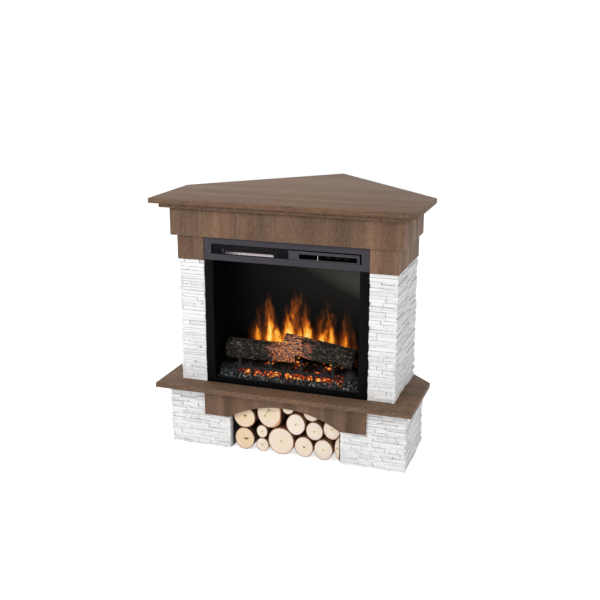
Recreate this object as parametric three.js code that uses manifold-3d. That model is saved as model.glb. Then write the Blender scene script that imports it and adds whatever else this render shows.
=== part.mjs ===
// Corner fireplace: a five-sided mantel that stands in a room corner, with an electric
// fire in its front and a log niche under its hearth shelf.
// Millimetres, +Z up. The front faces -Y and the room corner is at +Y. The origin is the
// middle of the outer box at floor level.
import * as THREE from "three";
import { mergeVertices } from "three/addons/utils/BufferGeometryUtils.js";
import Module from "manifold-3d";

const wasm = await Module();
wasm.setup();

// ---------------------------------------------------------------- driving dimensions

// Mantel
const WIDTH = 1024; // across the top slab and the hearth shelf
const DEPTH = 854; // from the slab's front edge to the room corner
const BOARD = 19; // thickness of the wood-finish boards
const CARCASS_BOARD = 12; // thickness of the plain boards inside
const STONE = 20; // thickness of the stone cladding at its thickest stones
const STONE_THIN = 13; // and at its thinnest
const COURSE = [15, 27]; // lowest and highest course of stones
const STONE_LENGTH = [55, 130]; // shortest and longest stone
const CORNICE_INSET = 29; // step from the slab's edge in to the cornice board
const FRIEZE_INSET = 59; // step from the slab's edge in to the frieze
const FRIEZE_HEIGHT = 109;
const CAPITAL_HEIGHT = 95; // what shows of a capital below the frieze
const SHELF_TOP = 268; // hearth shelf above the floor
const POST = 45; // side of the square post in the room corner

// Plinth, apron and niche
const PLINTH_SIDE_INSET = 28;
const PLINTH_FRONT_INSET = 63;
const APRON_WIDTH = 656;
const APRON_DROP = 112; // depth of the apron board at its ends
const APRON_PROUD = 7; // how far it stands in front of the plinth stones
const ARCH_RISE = 65; // middle of the arch above its ends
const NICHE_WIDTH = 452;
const NICHE_RETURN = 36; // depth of the white return at the niche's mouth
const NICHE_DEPTH = 252; // from the plinth's face to the niche's back board
const LOG_SETBACK = 17; // firewood ends behind the plinth's face

// Electric fire
const INSERT_WIDTH = 650;
const INSERT_HEIGHT = 585;
const INSERT_DEPTH = 220;
const TRIM_DEPTH = 16; // how far the trim stands in front of the carcass
const TRIM_PLATE = 3;
const TRIM_LIP = 2;
const SHEET = 2; // casing sheet
const FIREBOX_INSET = 35; // flange beside the opening
const CASING_INSET = 31; // casing's outside in from the side of the trim
const FLANGE_SILL = 19; // height of the flange below the opening
const VALANCE_HEIGHT = 91;
const WINDOW_INSET = 30; // end of the recess in from the side of the valance
const WINDOW_LOW = 24; // window above the valance's lower edge
const WINDOW_HEIGHT = 39;
const SCREEN_DEPTH = 161; // flame screen behind the insert's face
const SCREEN = 3;

// Clearances
const GAP = 0.3; // between pieces that lie together without a shared flat face
const APERTURE_PLAY = 2; // carcass cut-out round the casing

// ---------------------------------------------------------------- places worked out

const FRONT = -DEPTH / 2;
const CORNER = DEPTH / 2;
const HALF = WIDTH / 2;
const CAPITAL_INSET = FRIEZE_INSET + BOARD;
const CARCASS_FACE = FRONT + CAPITAL_INSET + BOARD;
const CARCASS_HALF = HALF - CAPITAL_INSET - BOARD;
const SHELF_UNDER = SHELF_TOP - BOARD;
const INSERT_TOP = SHELF_TOP + INSERT_HEIGHT;
const FRIEZE_UNDER = INSERT_TOP;
const CORNICE_UNDER = FRIEZE_UNDER + FRIEZE_HEIGHT;
const SLAB_UNDER = CORNICE_UNDER + BOARD;
const CAPITAL_UNDER = FRIEZE_UNDER - CAPITAL_HEIGHT;
const PLINTH_HALF = HALF - PLINTH_SIDE_INSET;
const PLINTH_FRONT = FRONT + PLINTH_FRONT_INSET;
const PLINTH_FACE = PLINTH_FRONT + STONE;
const APRON_BACK = PLINTH_FRONT - APRON_PROUD + BOARD;
const APRON_UNDER = SHELF_UNDER - APRON_DROP;
const NICHE_HALF = NICHE_WIDTH / 2;
const NICHE_BACK = PLINTH_FRONT + NICHE_DEPTH;
const INSERT_FACE = CARCASS_FACE - TRIM_DEPTH;
const INSERT_REAR = INSERT_FACE + INSERT_DEPTH;
const INSERT_HALF = INSERT_WIDTH / 2;
const COLUMN_INNER = INSERT_HALF + 1;
const CASING_HALF = INSERT_HALF - CASING_INSET;
const CASING_INNER = CASING_HALF - SHEET;
const CASING_TOP = INSERT_TOP - 7;
const VALANCE_UNDER = INSERT_TOP - VALANCE_HEIGHT;
const WINDOW_HALF = INSERT_HALF - WINDOW_INSET;
const WINDOW_UNDER = VALANCE_UNDER + WINDOW_LOW;
const WINDOW_TOP = WINDOW_UNDER + WINDOW_HEIGHT;
const TRAY_TOP = SHELF_TOP + SHEET;
const SCREEN_FRONT = INSERT_FACE + SCREEN_DEPTH;
const DECK_TOP = VALANCE_UNDER + SHEET;

// ---------------------------------------------------------------- materials

const finish = (color, roughness, metalness = 0, extra = {}) =>
  new THREE.MeshStandardMaterial({ color, roughness, metalness, ...extra });
const walnut = finish(0x6b5244, 0.6);
const stone = finish(0xe9e8e6, 0.85);
const plainBoard = finish(0x3b3431, 0.8);
const nicheBoard = finish(0x1e1c1c, 0.85);
const charcoal = finish(0x46434a, 0.5, 0.3);
const blackSteel = finish(0x0c0c0d, 0.5, 0.3);
const brightMetal = finish(0xc9c8c6, 0.3, 0.9);
const blackPlastic = finish(0x111112, 0.5);
const smokedScreen = finish(0x151514, 0.15);
const castIron = finish(0x141414, 0.7, 0.4);
const logResin = finish(0x2a241d, 0.9);
const emberResin = finish(0x8a2f0b, 0.7, 0, { emissive: 0x6a1c00 });
const boardGreen = finish(0x2c4636, 0.5);
const birch = finish(0xe3c9a2, 0.8);

// ---------------------------------------------------------------- geometry helpers

// Each helper moves vertices onto the very numbers it is given, so that two flat faces
// that share a value lie exactly together.
function remap(geometry, place) {
  const p = geometry.attributes.position;
  for (let i = 0; i < p.count; i++) p.setXYZ(i, ...place(p.getX(i), p.getY(i), p.getZ(i)));
  return geometry;
}

function box([x0, y0, z0], [x1, y1, z1]) {
  return remap(new THREE.BoxGeometry(2, 2, 2), (x, y, z) => [
    x < 0 ? x0 : x1,
    y < 0 ? y0 : y1,
    z < 0 ? z0 : z1,
  ]);
}

const outline = (points) => new THREE.Shape(points.map(([a, b]) => new THREE.Vector2(a, b)));
const slab = (shape, curveSegments) =>
  new THREE.ExtrudeGeometry(shape, { depth: 1, bevelEnabled: false, curveSegments });

// A plan outline (x, y) raised from z0 to z1.
const raise = (shape, z0, z1, steps = 12) =>
  remap(slab(shape, steps), (x, y, d) => [x, y, d < 0.5 ? z0 : z1]);

// A front outline (x, z) carried back from y0 to y1.
const carryBack = (shape, y0, y1, steps = 12) =>
  remap(slab(shape, steps), (x, z, d) => [x, d < 0.5 ? y1 : y0, z]);

// A side outline (y, z) carried across from x0 to x1.
const carryAcross = (shape, x0, x1, steps = 12) =>
  remap(slab(shape, steps), (y, z, d) => [d < 0.5 ? x0 : x1, y, z]);

// A round bar along X, centred on y, z.
const barX = (radius, x0, x1, y, z, sides = 20) =>
  carryAcross(new THREE.Shape().absarc(y, z, radius, 0, 2 * Math.PI), x0, x1, sides / 2);

// The mirror image of a geometry on the other side of the middle plane.
function mirrored(geometry) {
  const flat = geometry.index ? geometry.toNonIndexed() : geometry.clone();
  const p = flat.attributes.position;
  for (let i = 0; i < p.count; i += 3) {
    const corner = [0, 1, 2].map((k) => [-p.getX(i + k), p.getY(i + k), p.getZ(i + k)]);
    corner.reverse().forEach((c, k) => p.setXYZ(i + k, ...c));
  }
  return flat;
}

function toSolid(geometry) {
  const bare = geometry.index ? geometry.toNonIndexed() : geometry.clone();
  bare.deleteAttribute("normal");
  bare.deleteAttribute("uv");
  const merged = mergeVertices(bare, 1e-4);
  return new wasm.Manifold(
    new wasm.Mesh({
      numProp: 3,
      vertProperties: merged.attributes.position.array,
      triVerts: new Uint32Array(merged.index.array),
    }),
  );
}

function toGeometry(made) {
  const { vertProperties, triVerts, numProp } = made.getMesh();
  const flat = new Float32Array((vertProperties.length / numProp) * 3);
  for (let i = 0; i * 3 < flat.length; i++)
    flat.set(vertProperties.subarray(i * numProp, i * numProp + 3), i * 3);
  const g = new THREE.BufferGeometry();
  g.setAttribute("position", new THREE.BufferAttribute(flat, 3));
  g.setIndex(new THREE.BufferAttribute(new Uint32Array(triVerts), 1));
  g.computeVertexNormals();
  return g;
}

const join = (first, ...rest) =>
  toGeometry(rest.reduce((sum, g) => sum.add(toSolid(g)), toSolid(first)));
const cut = (first, ...rest) =>
  toGeometry(rest.reduce((left, g) => left.subtract(toSolid(g)), toSolid(first)));

const fireplace = new THREE.Group();
const mantel = new THREE.Group();
const insert = new THREE.Group();
const firewood = new THREE.Group();
fireplace.add(mantel, insert, firewood);

function add(group, name, geometry, material) {
  const mesh = new THREE.Mesh(geometry, material);
  mesh.name = name;
  group.add(mesh);
}

function addPair(group, name, rightGeometry, material) {
  add(group, name + "_right", rightGeometry, material);
  add(group, name + "_left", mirrored(rightGeometry), material);
}

// ---------------------------------------------------------------- mantel

// Five-sided board: straight front and sides, and two back edges along the room's walls.
const wallAt = (x) => CORNER - Math.abs(x);
function housePlan(half, front) {
  return outline([
    [-half, front],
    [half, front],
    [half, wallAt(half)],
    [0, CORNER],
    [-half, wallAt(half)],
  ]);
}

// The corner post is square, with two faces against the walls.
function postPlan(play) {
  const reach = POST * Math.SQRT1_2;
  return outline([
    [0, CORNER + 2 * play],
    [-reach - 2 * play, CORNER - reach],
    [0, CORNER - 2 * reach - 2 * play],
    [reach + 2 * play, CORNER - reach],
  ]);
}

// A board down the right-hand side, from front to the wall.
const sidePlan = (outer, thickness, front) =>
  outline([
    [outer - thickness, front],
    [outer, front],
    [outer, wallAt(outer)],
    [outer - thickness, wallAt(outer - thickness)],
  ]);

// A front board and a side board in one, on the right-hand side.
const cornerPlan = (inner, outer, thickness, front) =>
  outline([
    [inner, front],
    [outer, front],
    [outer, wallAt(outer)],
    [outer - thickness, wallAt(outer - thickness)],
    [outer - thickness, front + thickness],
    [inner, front + thickness],
  ]);

function buildTop() {
  add(mantel, "top_slab", raise(housePlan(HALF, FRONT), SLAB_UNDER, SLAB_UNDER + BOARD), walnut);
  const step = CORNICE_INSET;
  const cornice = raise(housePlan(HALF - step, FRONT + step), CORNICE_UNDER, SLAB_UNDER);
  add(mantel, "cornice_board", cornice, walnut);
}

// Three boards with mitred front corners.
function buildFrieze() {
  const half = HALF - FRIEZE_INSET;
  const face = FRONT + FRIEZE_INSET;
  const front = outline([
    [-half, face],
    [half, face],
    [half - BOARD, face + BOARD],
    [BOARD - half, face + BOARD],
  ]);
  const side = outline([
    [half, face],
    [half, wallAt(half)],
    [half - BOARD, wallAt(half - BOARD)],
    [half - BOARD, face + BOARD],
  ]);
  add(mantel, "frieze_front", raise(front, FRIEZE_UNDER, CORNICE_UNDER), walnut);
  addPair(mantel, "frieze", raise(side, FRIEZE_UNDER, CORNICE_UNDER), walnut);
}

// Numbers from 0 to 1 that look unordered and come out the same every time.
function dice(seed) {
  let state = seed;
  return () => {
    state = (state * 48271) % 2147483647;
    return state / 2147483647;
  };
}

// Cuts a length into parts of changing size that fill it, and gives where each part ends.
function cutUp(from, to, [least, most], next) {
  const ends = [0];
  while (ends.at(-1) < to - from) ends.push(ends.at(-1) + least + (most - least) * next());
  if (ends.length > 2) ends.pop();
  const stretch = (to - from) / ends.at(-1);
  return ends.slice(1).map((end, i) => (i + 2 === ends.length ? to : from + end * stretch));
}

// Split-face ledger stone on a front and a side: courses of changing height, with stones of
// changing length and thickness. The stone on the corner turns round it.
function stoneCladding({ inner, half, face, low, high, seed }) {
  const next = dice(seed);
  const thickness = () => STONE_THIN + (STONE - STONE_THIN) * next();
  const wall = wallAt(half + STONE);
  let below = low;
  const courses = cutUp(low, high, COURSE, next).map((above) => {
    const front = cutUp(inner, half + STONE, STONE_LENGTH, next);
    const side = cutUp(face - STONE, wall, STONE_LENGTH, next);
    const edge = [];
    let x = inner;
    let thick = thickness();
    for (const end of front) {
      const proud = face - thick;
      edge.push([x, proud], [end, proud]);
      x = end;
      if (end !== front.at(-1)) thick = thickness();
    }
    edge.pop();
    const corner = edge.at(-1)[1];
    let y = corner;
    for (const end of side) {
      const proud = half + (y === corner ? STONE - next() : thickness());
      edge.push([proud, y], [proud, end]);
      y = end;
    }
    const plan = outline([...edge, [half, wallAt(half)], [half, face], [inner, face]]);
    const course = raise(plan, below, above);
    below = above;
    return course;
  });
  return join(...courses);
}

// The capitals run up behind the frieze to the cornice.
function buildColumns() {
  const capital = cornerPlan(COLUMN_INNER, HALF - CAPITAL_INSET, BOARD, FRONT + CAPITAL_INSET);
  addPair(mantel, "capital", raise(capital, CAPITAL_UNDER, CORNICE_UNDER), walnut);
  const column = (seed) =>
    stoneCladding({
      inner: COLUMN_INNER,
      half: CARCASS_HALF,
      face: CARCASS_FACE,
      low: SHELF_TOP,
      high: CAPITAL_UNDER,
      seed,
    });
  add(mantel, "column_right", column(11), stone);
  add(mantel, "column_left", mirrored(column(23)), stone);
}

// The carcass front is a portal that the electric fire slides into.
function buildCarcass() {
  const openHalf = CASING_HALF + APERTURE_PLAY;
  const openTop = CASING_TOP + APERTURE_PLAY;
  const portal = outline([
    [-CARCASS_HALF, SHELF_TOP],
    [-openHalf, SHELF_TOP],
    [-openHalf, openTop],
    [openHalf, openTop],
    [openHalf, SHELF_TOP],
    [CARCASS_HALF, SHELF_TOP],
    [CARCASS_HALF, CORNICE_UNDER],
    [-CARCASS_HALF, CORNICE_UNDER],
  ]);
  const back = CARCASS_FACE + CARCASS_BOARD;
  add(mantel, "carcass_front", carryBack(portal, CARCASS_FACE, back), plainBoard);
  const side = sidePlan(CARCASS_HALF, CARCASS_BOARD, back);
  addPair(mantel, "carcass_side", raise(side, SHELF_TOP, CORNICE_UNDER), plainBoard);
  add(mantel, "rear_post", raise(postPlan(0), 0, CORNICE_UNDER), plainBoard);
}

function buildShelf() {
  const board = raise(housePlan(HALF, FRONT), SHELF_UNDER, SHELF_TOP);
  const notch = raise(postPlan(GAP), SHELF_UNDER - BOARD, SHELF_TOP + BOARD);
  add(mantel, "hearth_shelf", cut(board, notch), walnut);
}

// The stone shell turns into the niche's mouth and is rebated for the end of the apron.
function buildPlinths() {
  const mouth = box(
    [NICHE_HALF, PLINTH_FACE - STONE_THIN, 0],
    [NICHE_HALF + STONE_THIN, PLINTH_FRONT + NICHE_RETURN, APRON_UNDER - GAP],
  );
  const rebate = box(
    [NICHE_HALF - STONE, PLINTH_FRONT - STONE, APRON_UNDER - GAP],
    [APRON_WIDTH / 2 + GAP, APRON_BACK, SHELF_TOP],
  );
  const plinth = (seed) => {
    const shell = stoneCladding({
      inner: NICHE_HALF,
      half: PLINTH_HALF - STONE,
      face: PLINTH_FACE,
      low: 0,
      high: SHELF_UNDER,
      seed,
    });
    return cut(join(shell, mouth), rebate);
  };
  add(mantel, "plinth_right", plinth(37), stone);
  add(mantel, "plinth_left", mirrored(plinth(53)), stone);
  const side = sidePlan(PLINTH_HALF - STONE, CARCASS_BOARD, PLINTH_FACE);
  addPair(mantel, "plinth_side", raise(side, 0, SHELF_UNDER), plainBoard);
}

function buildNiche() {
  const wall = box(
    [NICHE_HALF, PLINTH_FRONT + NICHE_RETURN, 0],
    [NICHE_HALF + CARCASS_BOARD, NICHE_BACK + CARCASS_BOARD, SHELF_UNDER],
  );
  addPair(mantel, "niche_wall", wall, nicheBoard);
  const back = box(
    [-NICHE_HALF, NICHE_BACK, 0],
    [NICHE_HALF, NICHE_BACK + CARCASS_BOARD, SHELF_UNDER],
  );
  add(mantel, "niche_back", back, nicheBoard);
}

// The arch is one circular arc from one side of the niche to the other.
function buildApron() {
  const half = APRON_WIDTH / 2;
  const radius = (NICHE_HALF ** 2 + ARCH_RISE ** 2) / (2 * ARCH_RISE);
  const spread = Math.asin(NICHE_HALF / radius);
  const board = new THREE.Shape();
  board.moveTo(half, APRON_UNDER);
  board.lineTo(half, SHELF_UNDER);
  board.lineTo(-half, SHELF_UNDER);
  board.lineTo(-half, APRON_UNDER);
  board.lineTo(-NICHE_HALF, APRON_UNDER);
  const middle = APRON_UNDER + ARCH_RISE - radius;
  board.absarc(0, middle, radius, Math.PI / 2 + spread, Math.PI / 2 - spread, true);
  board.closePath();
  add(mantel, "apron_board", carryBack(board, APRON_BACK - BOARD, APRON_BACK, 18), walnut);
}

// ---------------------------------------------------------------- firewood

const LOG_SIDES = 20;
const PILE_WIDTH = 452; // niche that the pile below is drawn for
const PILE_HEIGHT = 249;
const PILE_SCALE = Math.min(NICHE_WIDTH / PILE_WIDTH, SHELF_UNDER / PILE_HEIGHT);

// An oval log end; a split log is flat on one side.
function logEnd({ wide, high, split }) {
  const points = [];
  for (let i = 0; i < LOG_SIDES; i++) {
    const a = (2 * Math.PI * (i + 0.5)) / LOG_SIDES;
    const x = wide * Math.cos(a);
    const across = split ? Math.min(x, split) : x;
    points.push([across * PILE_SCALE, high * Math.sin(a) * PILE_SCALE]);
  }
  return points.filter(([x, z], i) => {
    const [x0] = points[(i + LOG_SIDES - 1) % LOG_SIDES];
    const [x1] = points[(i + 1) % LOG_SIDES];
    return x !== x0 || x !== x1 || z === 0;
  });
}

const shifted = (points, dx, dz) => points.map(([x, z]) => [x + dx, z + dz]);
const turned = (points) => points.map(([x, z]) => [z, x]);

// Height of a convex outline's edge at x: its lowest with Math.min, its highest with Math.max.
function heightAt(points, x, pick) {
  const heights = points.flatMap(([x0, z0], i) => {
    const [x1, z1] = points[(i + 1) % points.length];
    if ((x - x0) * (x - x1) > 0) return [];
    return x0 === x1 ? [z0, z1] : [z0 + ((z1 - z0) * (x - x0)) / (x1 - x0)];
  });
  return pick(...heights);
}

// Free height between two convex outlines, straight up from the lower to the upper.
function freeHeight(upper, lower) {
  const ends = (points, pick) => pick(...points.map(([x]) => x));
  const from = Math.max(ends(upper, Math.min), ends(lower, Math.min));
  const to = Math.min(ends(upper, Math.max), ends(lower, Math.max));
  if (from >= to) return Infinity;
  const stations = [...upper, ...lower].map(([x]) => x).filter((x) => x > from && x < to);
  const height = (x) => heightAt(upper, x, Math.min) - heightAt(lower, x, Math.max);
  return Math.min(...[from, ...stations, to].map(height));
}

// The bottom row stands on the floor, each log its own small space to the right of the last.
const BOTTOM_ROW = [
  { wide: 42, high: 47, space: 15, proud: 0 },
  { wide: 27, high: 28.5, space: 7, proud: -4 },
  { wide: 54.5, high: 57, space: 4, proud: 2 },
  { wide: 38.5, high: 43.5, space: 0.4, proud: -2 },
  { wide: 38.5, high: 43.5, space: 4, proud: 1 },
  { wide: 38, high: 56, split: -16, space: 5, proud: -5 },
];

// The others, each with its middle so far from the niche's left wall, are let down until
// they rest on what lies below.
const UPPER_LOGS = [
  { along: 129, wide: 23.5, high: 28, proud: -2 },
  { along: 57, wide: 46, high: 45, proud: 1 },
  { along: 270, wide: 39.5, high: 45, proud: 2 },
  { along: 164, wide: 56, high: 60, split: 44, proud: -3 },
  { along: 346, wide: 35.5, high: 39, proud: 0 },
  { along: 415, wide: 35, high: 42, proud: -3 },
  { along: 236, wide: 25, high: 24, proud: -6 },
  { along: 332, wide: 33, high: 34, proud: -4 },
];
const MIDDLE = 1e4; // starting height or place, well clear of the pile

function buildFirewood() {
  const placed = [];
  const front = PLINTH_FRONT + LOG_SETBACK;
  const place = (log, points) => {
    placed.push(points);
    const name = "firewood_" + String(placed.length).padStart(2, "0");
    add(firewood, name, carryBack(outline(points), front - log.proud, NICHE_BACK), birch);
  };
  let last = null;
  for (const log of BOTTOM_ROW) {
    const standing = shifted(logEnd(log), MIDDLE, 0);
    const low = Math.min(...standing.map(([, z]) => z));
    const onFloor = shifted(standing, 0, -low);
    const leftmost = Math.min(...onFloor.map(([x]) => x));
    const free = last ? freeHeight(turned(onFloor), turned(last)) : leftmost + NICHE_HALF;
    last = shifted(onFloor, log.space * PILE_SCALE - free, 0);
    place(log, last);
  }
  for (const log of UPPER_LOGS) {
    const above = shifted(logEnd(log), log.along * PILE_SCALE - NICHE_HALF, MIDDLE);
    const free = Math.min(...placed.map((lower) => freeHeight(above, lower)));
    place(log, shifted(above, 0, GAP - free));
  }
}

// ---------------------------------------------------------------- electric fire: trim

// A pressed-metal trim: a front plate with lips turned back round every edge. The outline
// and its opening are rectangles given as [x0, x1, z0, z1].
function pressedTrim(outer, hole) {
  const rim = ([x0, x1, z0, z1], by) => [x0 + by, x1 - by, z0 + by, z1 - by];
  const block = ([x0, x1, z0, z1], y0, y1) => box([x0, y0, z0], [x1, y1, z1]);
  const behind = INSERT_FACE + TRIM_PLATE;
  const clear = INSERT_FACE - TRIM_DEPTH;
  const back = CARCASS_FACE;
  const far = CARCASS_FACE + TRIM_DEPTH;
  const body = cut(block(outer, INSERT_FACE, back), block(hole, clear, far));
  const pocket = block(rim(outer, TRIM_LIP), behind, far);
  return cut(body, cut(pocket, block(rim(hole, -TRIM_LIP), clear, far)));
}

function buildTrim() {
  const sill = SHELF_TOP + FLANGE_SILL;
  const fireboxHalf = INSERT_HALF - FIREBOX_INSET;
  const flange = pressedTrim(
    [-INSERT_HALF, INSERT_HALF, SHELF_TOP, VALANCE_UNDER],
    [-fireboxHalf, fireboxHalf, sill, VALANCE_UNDER + TRIM_DEPTH],
  );
  add(insert, "trim_flange", flange, blackSteel);
  const valance = pressedTrim(
    [-INSERT_HALF, INSERT_HALF, VALANCE_UNDER, INSERT_TOP],
    [-WINDOW_HALF, WINDOW_HALF, WINDOW_UNDER, WINDOW_TOP],
  );
  add(insert, "valance_panel", valance, charcoal);
}

// ---------------------------------------------------------------- electric fire: casing

const ROD_Y = SCREEN_FRONT + 32; // flicker rod's axis
const ROD_Z = TRAY_TOP + 62;
const ROD_JOURNAL = 4; // radius of the rod's ends
const BUSH_RADIUS = 10;
const BUSH_LENGTH = 14;
const INLET_RADIUS = 13;
const CABLE_RADIUS = 5;
const INLET_PROUD = 10; // how far the inlet's collar stands behind the casing
const INLET_X = CASING_INNER - 82; // cable inlet in the casing's back
const INLET_Z = SHELF_TOP + 60;

function buildCasing() {
  const side = box(
    [CASING_INNER, CARCASS_FACE, SHELF_TOP],
    [CASING_HALF, INSERT_REAR, CASING_TOP],
  );
  add(insert, "casing_right", side, blackSteel);
  const bushFrom = -CASING_INNER - SHEET / 2;
  const bush = barX(BUSH_RADIUS, bushFrom, BUSH_LENGTH - CASING_INNER, ROD_Y, ROD_Z);
  const bore = barX(ROD_JOURNAL + GAP, SHEET - CASING_INNER, 0, ROD_Y, ROD_Z);
  add(insert, "casing_left", cut(join(mirrored(side), bush), bore), blackSteel);

  const floor = box(
    [-CASING_INNER, CARCASS_FACE, SHELF_TOP],
    [CASING_INNER, INSERT_REAR, TRAY_TOP],
  );
  const rear = box(
    [-CASING_INNER, INSERT_REAR - SHEET, SHELF_TOP],
    [CASING_INNER, INSERT_REAR, CASING_TOP - SHEET],
  );
  const disc = (radius) => new THREE.Shape().absarc(INLET_X, INLET_Z, radius, 0, 2 * Math.PI);
  const inlet = carryBack(disc(INLET_RADIUS), INSERT_REAR - SHEET, INSERT_REAR + INLET_PROUD, 10);
  const cableWay = carryBack(disc(CABLE_RADIUS), SCREEN_FRONT, INSERT_REAR + 2 * INLET_PROUD, 10);
  add(insert, "casing_tray", cut(join(floor, rear, inlet), cableWay), blackSteel);

  const lid = box(
    [-CASING_INNER, CARCASS_FACE, CASING_TOP - SHEET],
    [CASING_INNER, INSERT_REAR, CASING_TOP],
  );
  add(insert, "casing_top", lid, blackSteel);
  const deck = box(
    [-CASING_INNER, CARCASS_FACE, VALANCE_UNDER],
    [CASING_INNER, INSERT_REAR - SHEET, DECK_TOP],
  );
  add(insert, "heater_deck", deck, blackSteel);
}

// ---------------------------------------------------------------- electric fire: heater

const BEZEL_WIDTH = 273; // the controls keep their size and the heater takes what is left
const BEZEL_END = 7; // space between the bezel and the end of the window
const BEZEL_RIGHT = WINDOW_HALF - BEZEL_END;
const BEZEL_LEFT = BEZEL_RIGHT - BEZEL_WIDTH;
const HEATER_LEFT = 33 - WINDOW_HALF; // outside of the blower housing
const MOTOR_SPACE = 45;
const HEATER_RIGHT = BEZEL_LEFT - MOTOR_SPACE;
const MESH_SETBACK = 8;
const MESH = 1.5;
const MESH_PITCH = 8;
const MESH_BAR = 2;
const WHEEL_RADIUS = 22;
const WHEEL_Y = INSERT_FACE + 58;
const WHEEL_Z = DECK_TOP + 42;
const WHEEL_BLADES = 18;
const HUB_RADIUS = 4;
const HOUSING_WALL = 2;
const MOTOR_LENGTH = 38;

// A woven outlet mesh, as a flat grid of square holes in a frame.
function buildOutletGrille() {
  const y0 = INSERT_FACE + MESH_SETBACK;
  const y1 = y0 + MESH;
  const frame = 5;
  const [x0, x1] = [-WINDOW_HALF, BEZEL_LEFT];
  let plate = toSolid(box([x0, y0, WINDOW_UNDER], [x1, y1, WINDOW_TOP]));
  const rows = Math.floor((WINDOW_TOP - WINDOW_UNDER - 2 * frame) / MESH_PITCH);
  const columns = Math.floor((x1 - x0 - 2 * frame) / MESH_PITCH);
  const left = (x0 + x1 - columns * MESH_PITCH + MESH_BAR) / 2;
  const low = (WINDOW_UNDER + WINDOW_TOP - rows * MESH_PITCH + MESH_BAR) / 2;
  const hole = MESH_PITCH - MESH_BAR;
  for (let i = 0; i < columns; i++)
    for (let j = 0; j < rows; j++) {
      const x = left + i * MESH_PITCH;
      const z = low + j * MESH_PITCH;
      plate = plate.subtract(toSolid(box([x, y0 - MESH, z], [x + hole, y1 + MESH, z + hole])));
    }
  add(insert, "outlet_grille", toGeometry(plate), blackSteel);
}

// Cross-flow wheel: curved blades between two discs, on stub shafts.
function buildBlowerWheel() {
  const x0 = HEATER_LEFT + HOUSING_WALL + 2;
  const x1 = HEATER_RIGHT - HOUSING_WALL - 2;
  const disc = 2;
  const inner = WHEEL_RADIUS * 0.72;
  const blade = new THREE.Shape();
  blade.moveTo(WHEEL_RADIUS, 0);
  blade.quadraticCurveTo(inner + 2, -0.4, inner - 0.6, -4.6);
  blade.lineTo(inner - 1.6, -3.8);
  blade.quadraticCurveTo(inner + 0.8, 1, WHEEL_RADIUS - 0.4, 1.2);
  blade.closePath();
  const one = carryAcross(blade, x0 + disc / 2, x1 - disc / 2, 3);
  let wheel = toSolid(barX(WHEEL_RADIUS, x0, x0 + disc, 0, 0, 24));
  wheel = wheel.add(toSolid(barX(WHEEL_RADIUS, x1 - disc, x1, 0, 0, 24)));
  wheel = wheel.add(toSolid(barX(HUB_RADIUS, HEATER_LEFT + GAP, x0 + 1, 0, 0, 12)));
  wheel = wheel.add(toSolid(barX(HUB_RADIUS, x1 - 1, HEATER_RIGHT + 8, 0, 0, 12)));
  for (let i = 0; i < WHEEL_BLADES; i++) {
    const turn = new THREE.Matrix4().makeRotationX((2 * Math.PI * i) / WHEEL_BLADES);
    wheel = wheel.add(toSolid(one.clone().applyMatrix4(turn)));
  }
  const made = toGeometry(wheel).translate(0, WHEEL_Y, WHEEL_Z);
  add(insert, "blower_wheel", made, brightMetal);
}

// Scroll casing round the wheel, open in front to the outlet and above to the air inlet.
function buildBlowerHousing() {
  const room = 4; // running space round the wheel
  const r = WHEEL_RADIUS + room;
  const mouth = CARCASS_FACE + GAP;
  const scroll = new THREE.Shape();
  scroll.moveTo(mouth, DECK_TOP);
  scroll.lineTo(WHEEL_Y + 8, DECK_TOP);
  scroll.quadraticCurveTo(WHEEL_Y + r + 12, DECK_TOP, WHEEL_Y + r + 12, WHEEL_Z);
  scroll.quadraticCurveTo(WHEEL_Y + r + 12, WHEEL_Z + r, WHEEL_Y + 18, WHEEL_Z + r + 4);
  scroll.lineTo(WHEEL_Y + 18, WHEEL_Z + r + 2);
  scroll.quadraticCurveTo(WHEEL_Y + r + 10, WHEEL_Z + r - 2, WHEEL_Y + r + 10, WHEEL_Z);
  scroll.quadraticCurveTo(WHEEL_Y + r + 10, DECK_TOP + 2, WHEEL_Y + 8, DECK_TOP + 2);
  scroll.lineTo(mouth, DECK_TOP + 2);
  scroll.closePath();
  const tongueTop = WHEEL_Z + 20;
  const tongue = outline([
    [mouth, tongueTop],
    [WHEEL_Y - r - 1, WHEEL_Z + 12],
    [WHEEL_Y - r - 1, WHEEL_Z + 9],
    [mouth, tongueTop - 3],
  ]);
  const cheek = outline([
    [mouth, DECK_TOP],
    [WHEEL_Y + r + 12, DECK_TOP],
    [WHEEL_Y + r + 12, WHEEL_Z + r + 4],
    [WHEEL_Y - 10, WHEEL_Z + r + 4],
    [mouth, tongueTop],
  ]);
  const body = join(
    carryAcross(scroll, HEATER_LEFT, HEATER_RIGHT, 6),
    carryAcross(tongue, HEATER_LEFT, HEATER_RIGHT),
    carryAcross(cheek, HEATER_LEFT, HEATER_LEFT + HOUSING_WALL),
    carryAcross(cheek, HEATER_RIGHT - HOUSING_WALL, HEATER_RIGHT),
  );
  const shaftWay = barX(HUB_RADIUS + GAP, HEATER_LEFT - 5, HEATER_RIGHT + 5, WHEEL_Y, WHEEL_Z, 16);
  add(insert, "blower_housing", cut(body, shaftWay), blackSteel);
  const motor = join(
    barX(20, HEATER_RIGHT, HEATER_RIGHT + 6, WHEEL_Y, WHEEL_Z, 20),
    barX(16, HEATER_RIGHT + 5, HEATER_RIGHT + MOTOR_LENGTH, WHEEL_Y, WHEEL_Z, 20),
  );
  const socket = barX(HUB_RADIUS + GAP, HEATER_RIGHT - 5, HEATER_RIGHT + 10, WHEEL_Y, WHEEL_Z, 16);
  add(insert, "blower_motor", cut(motor, socket), brightMetal);
}

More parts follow.
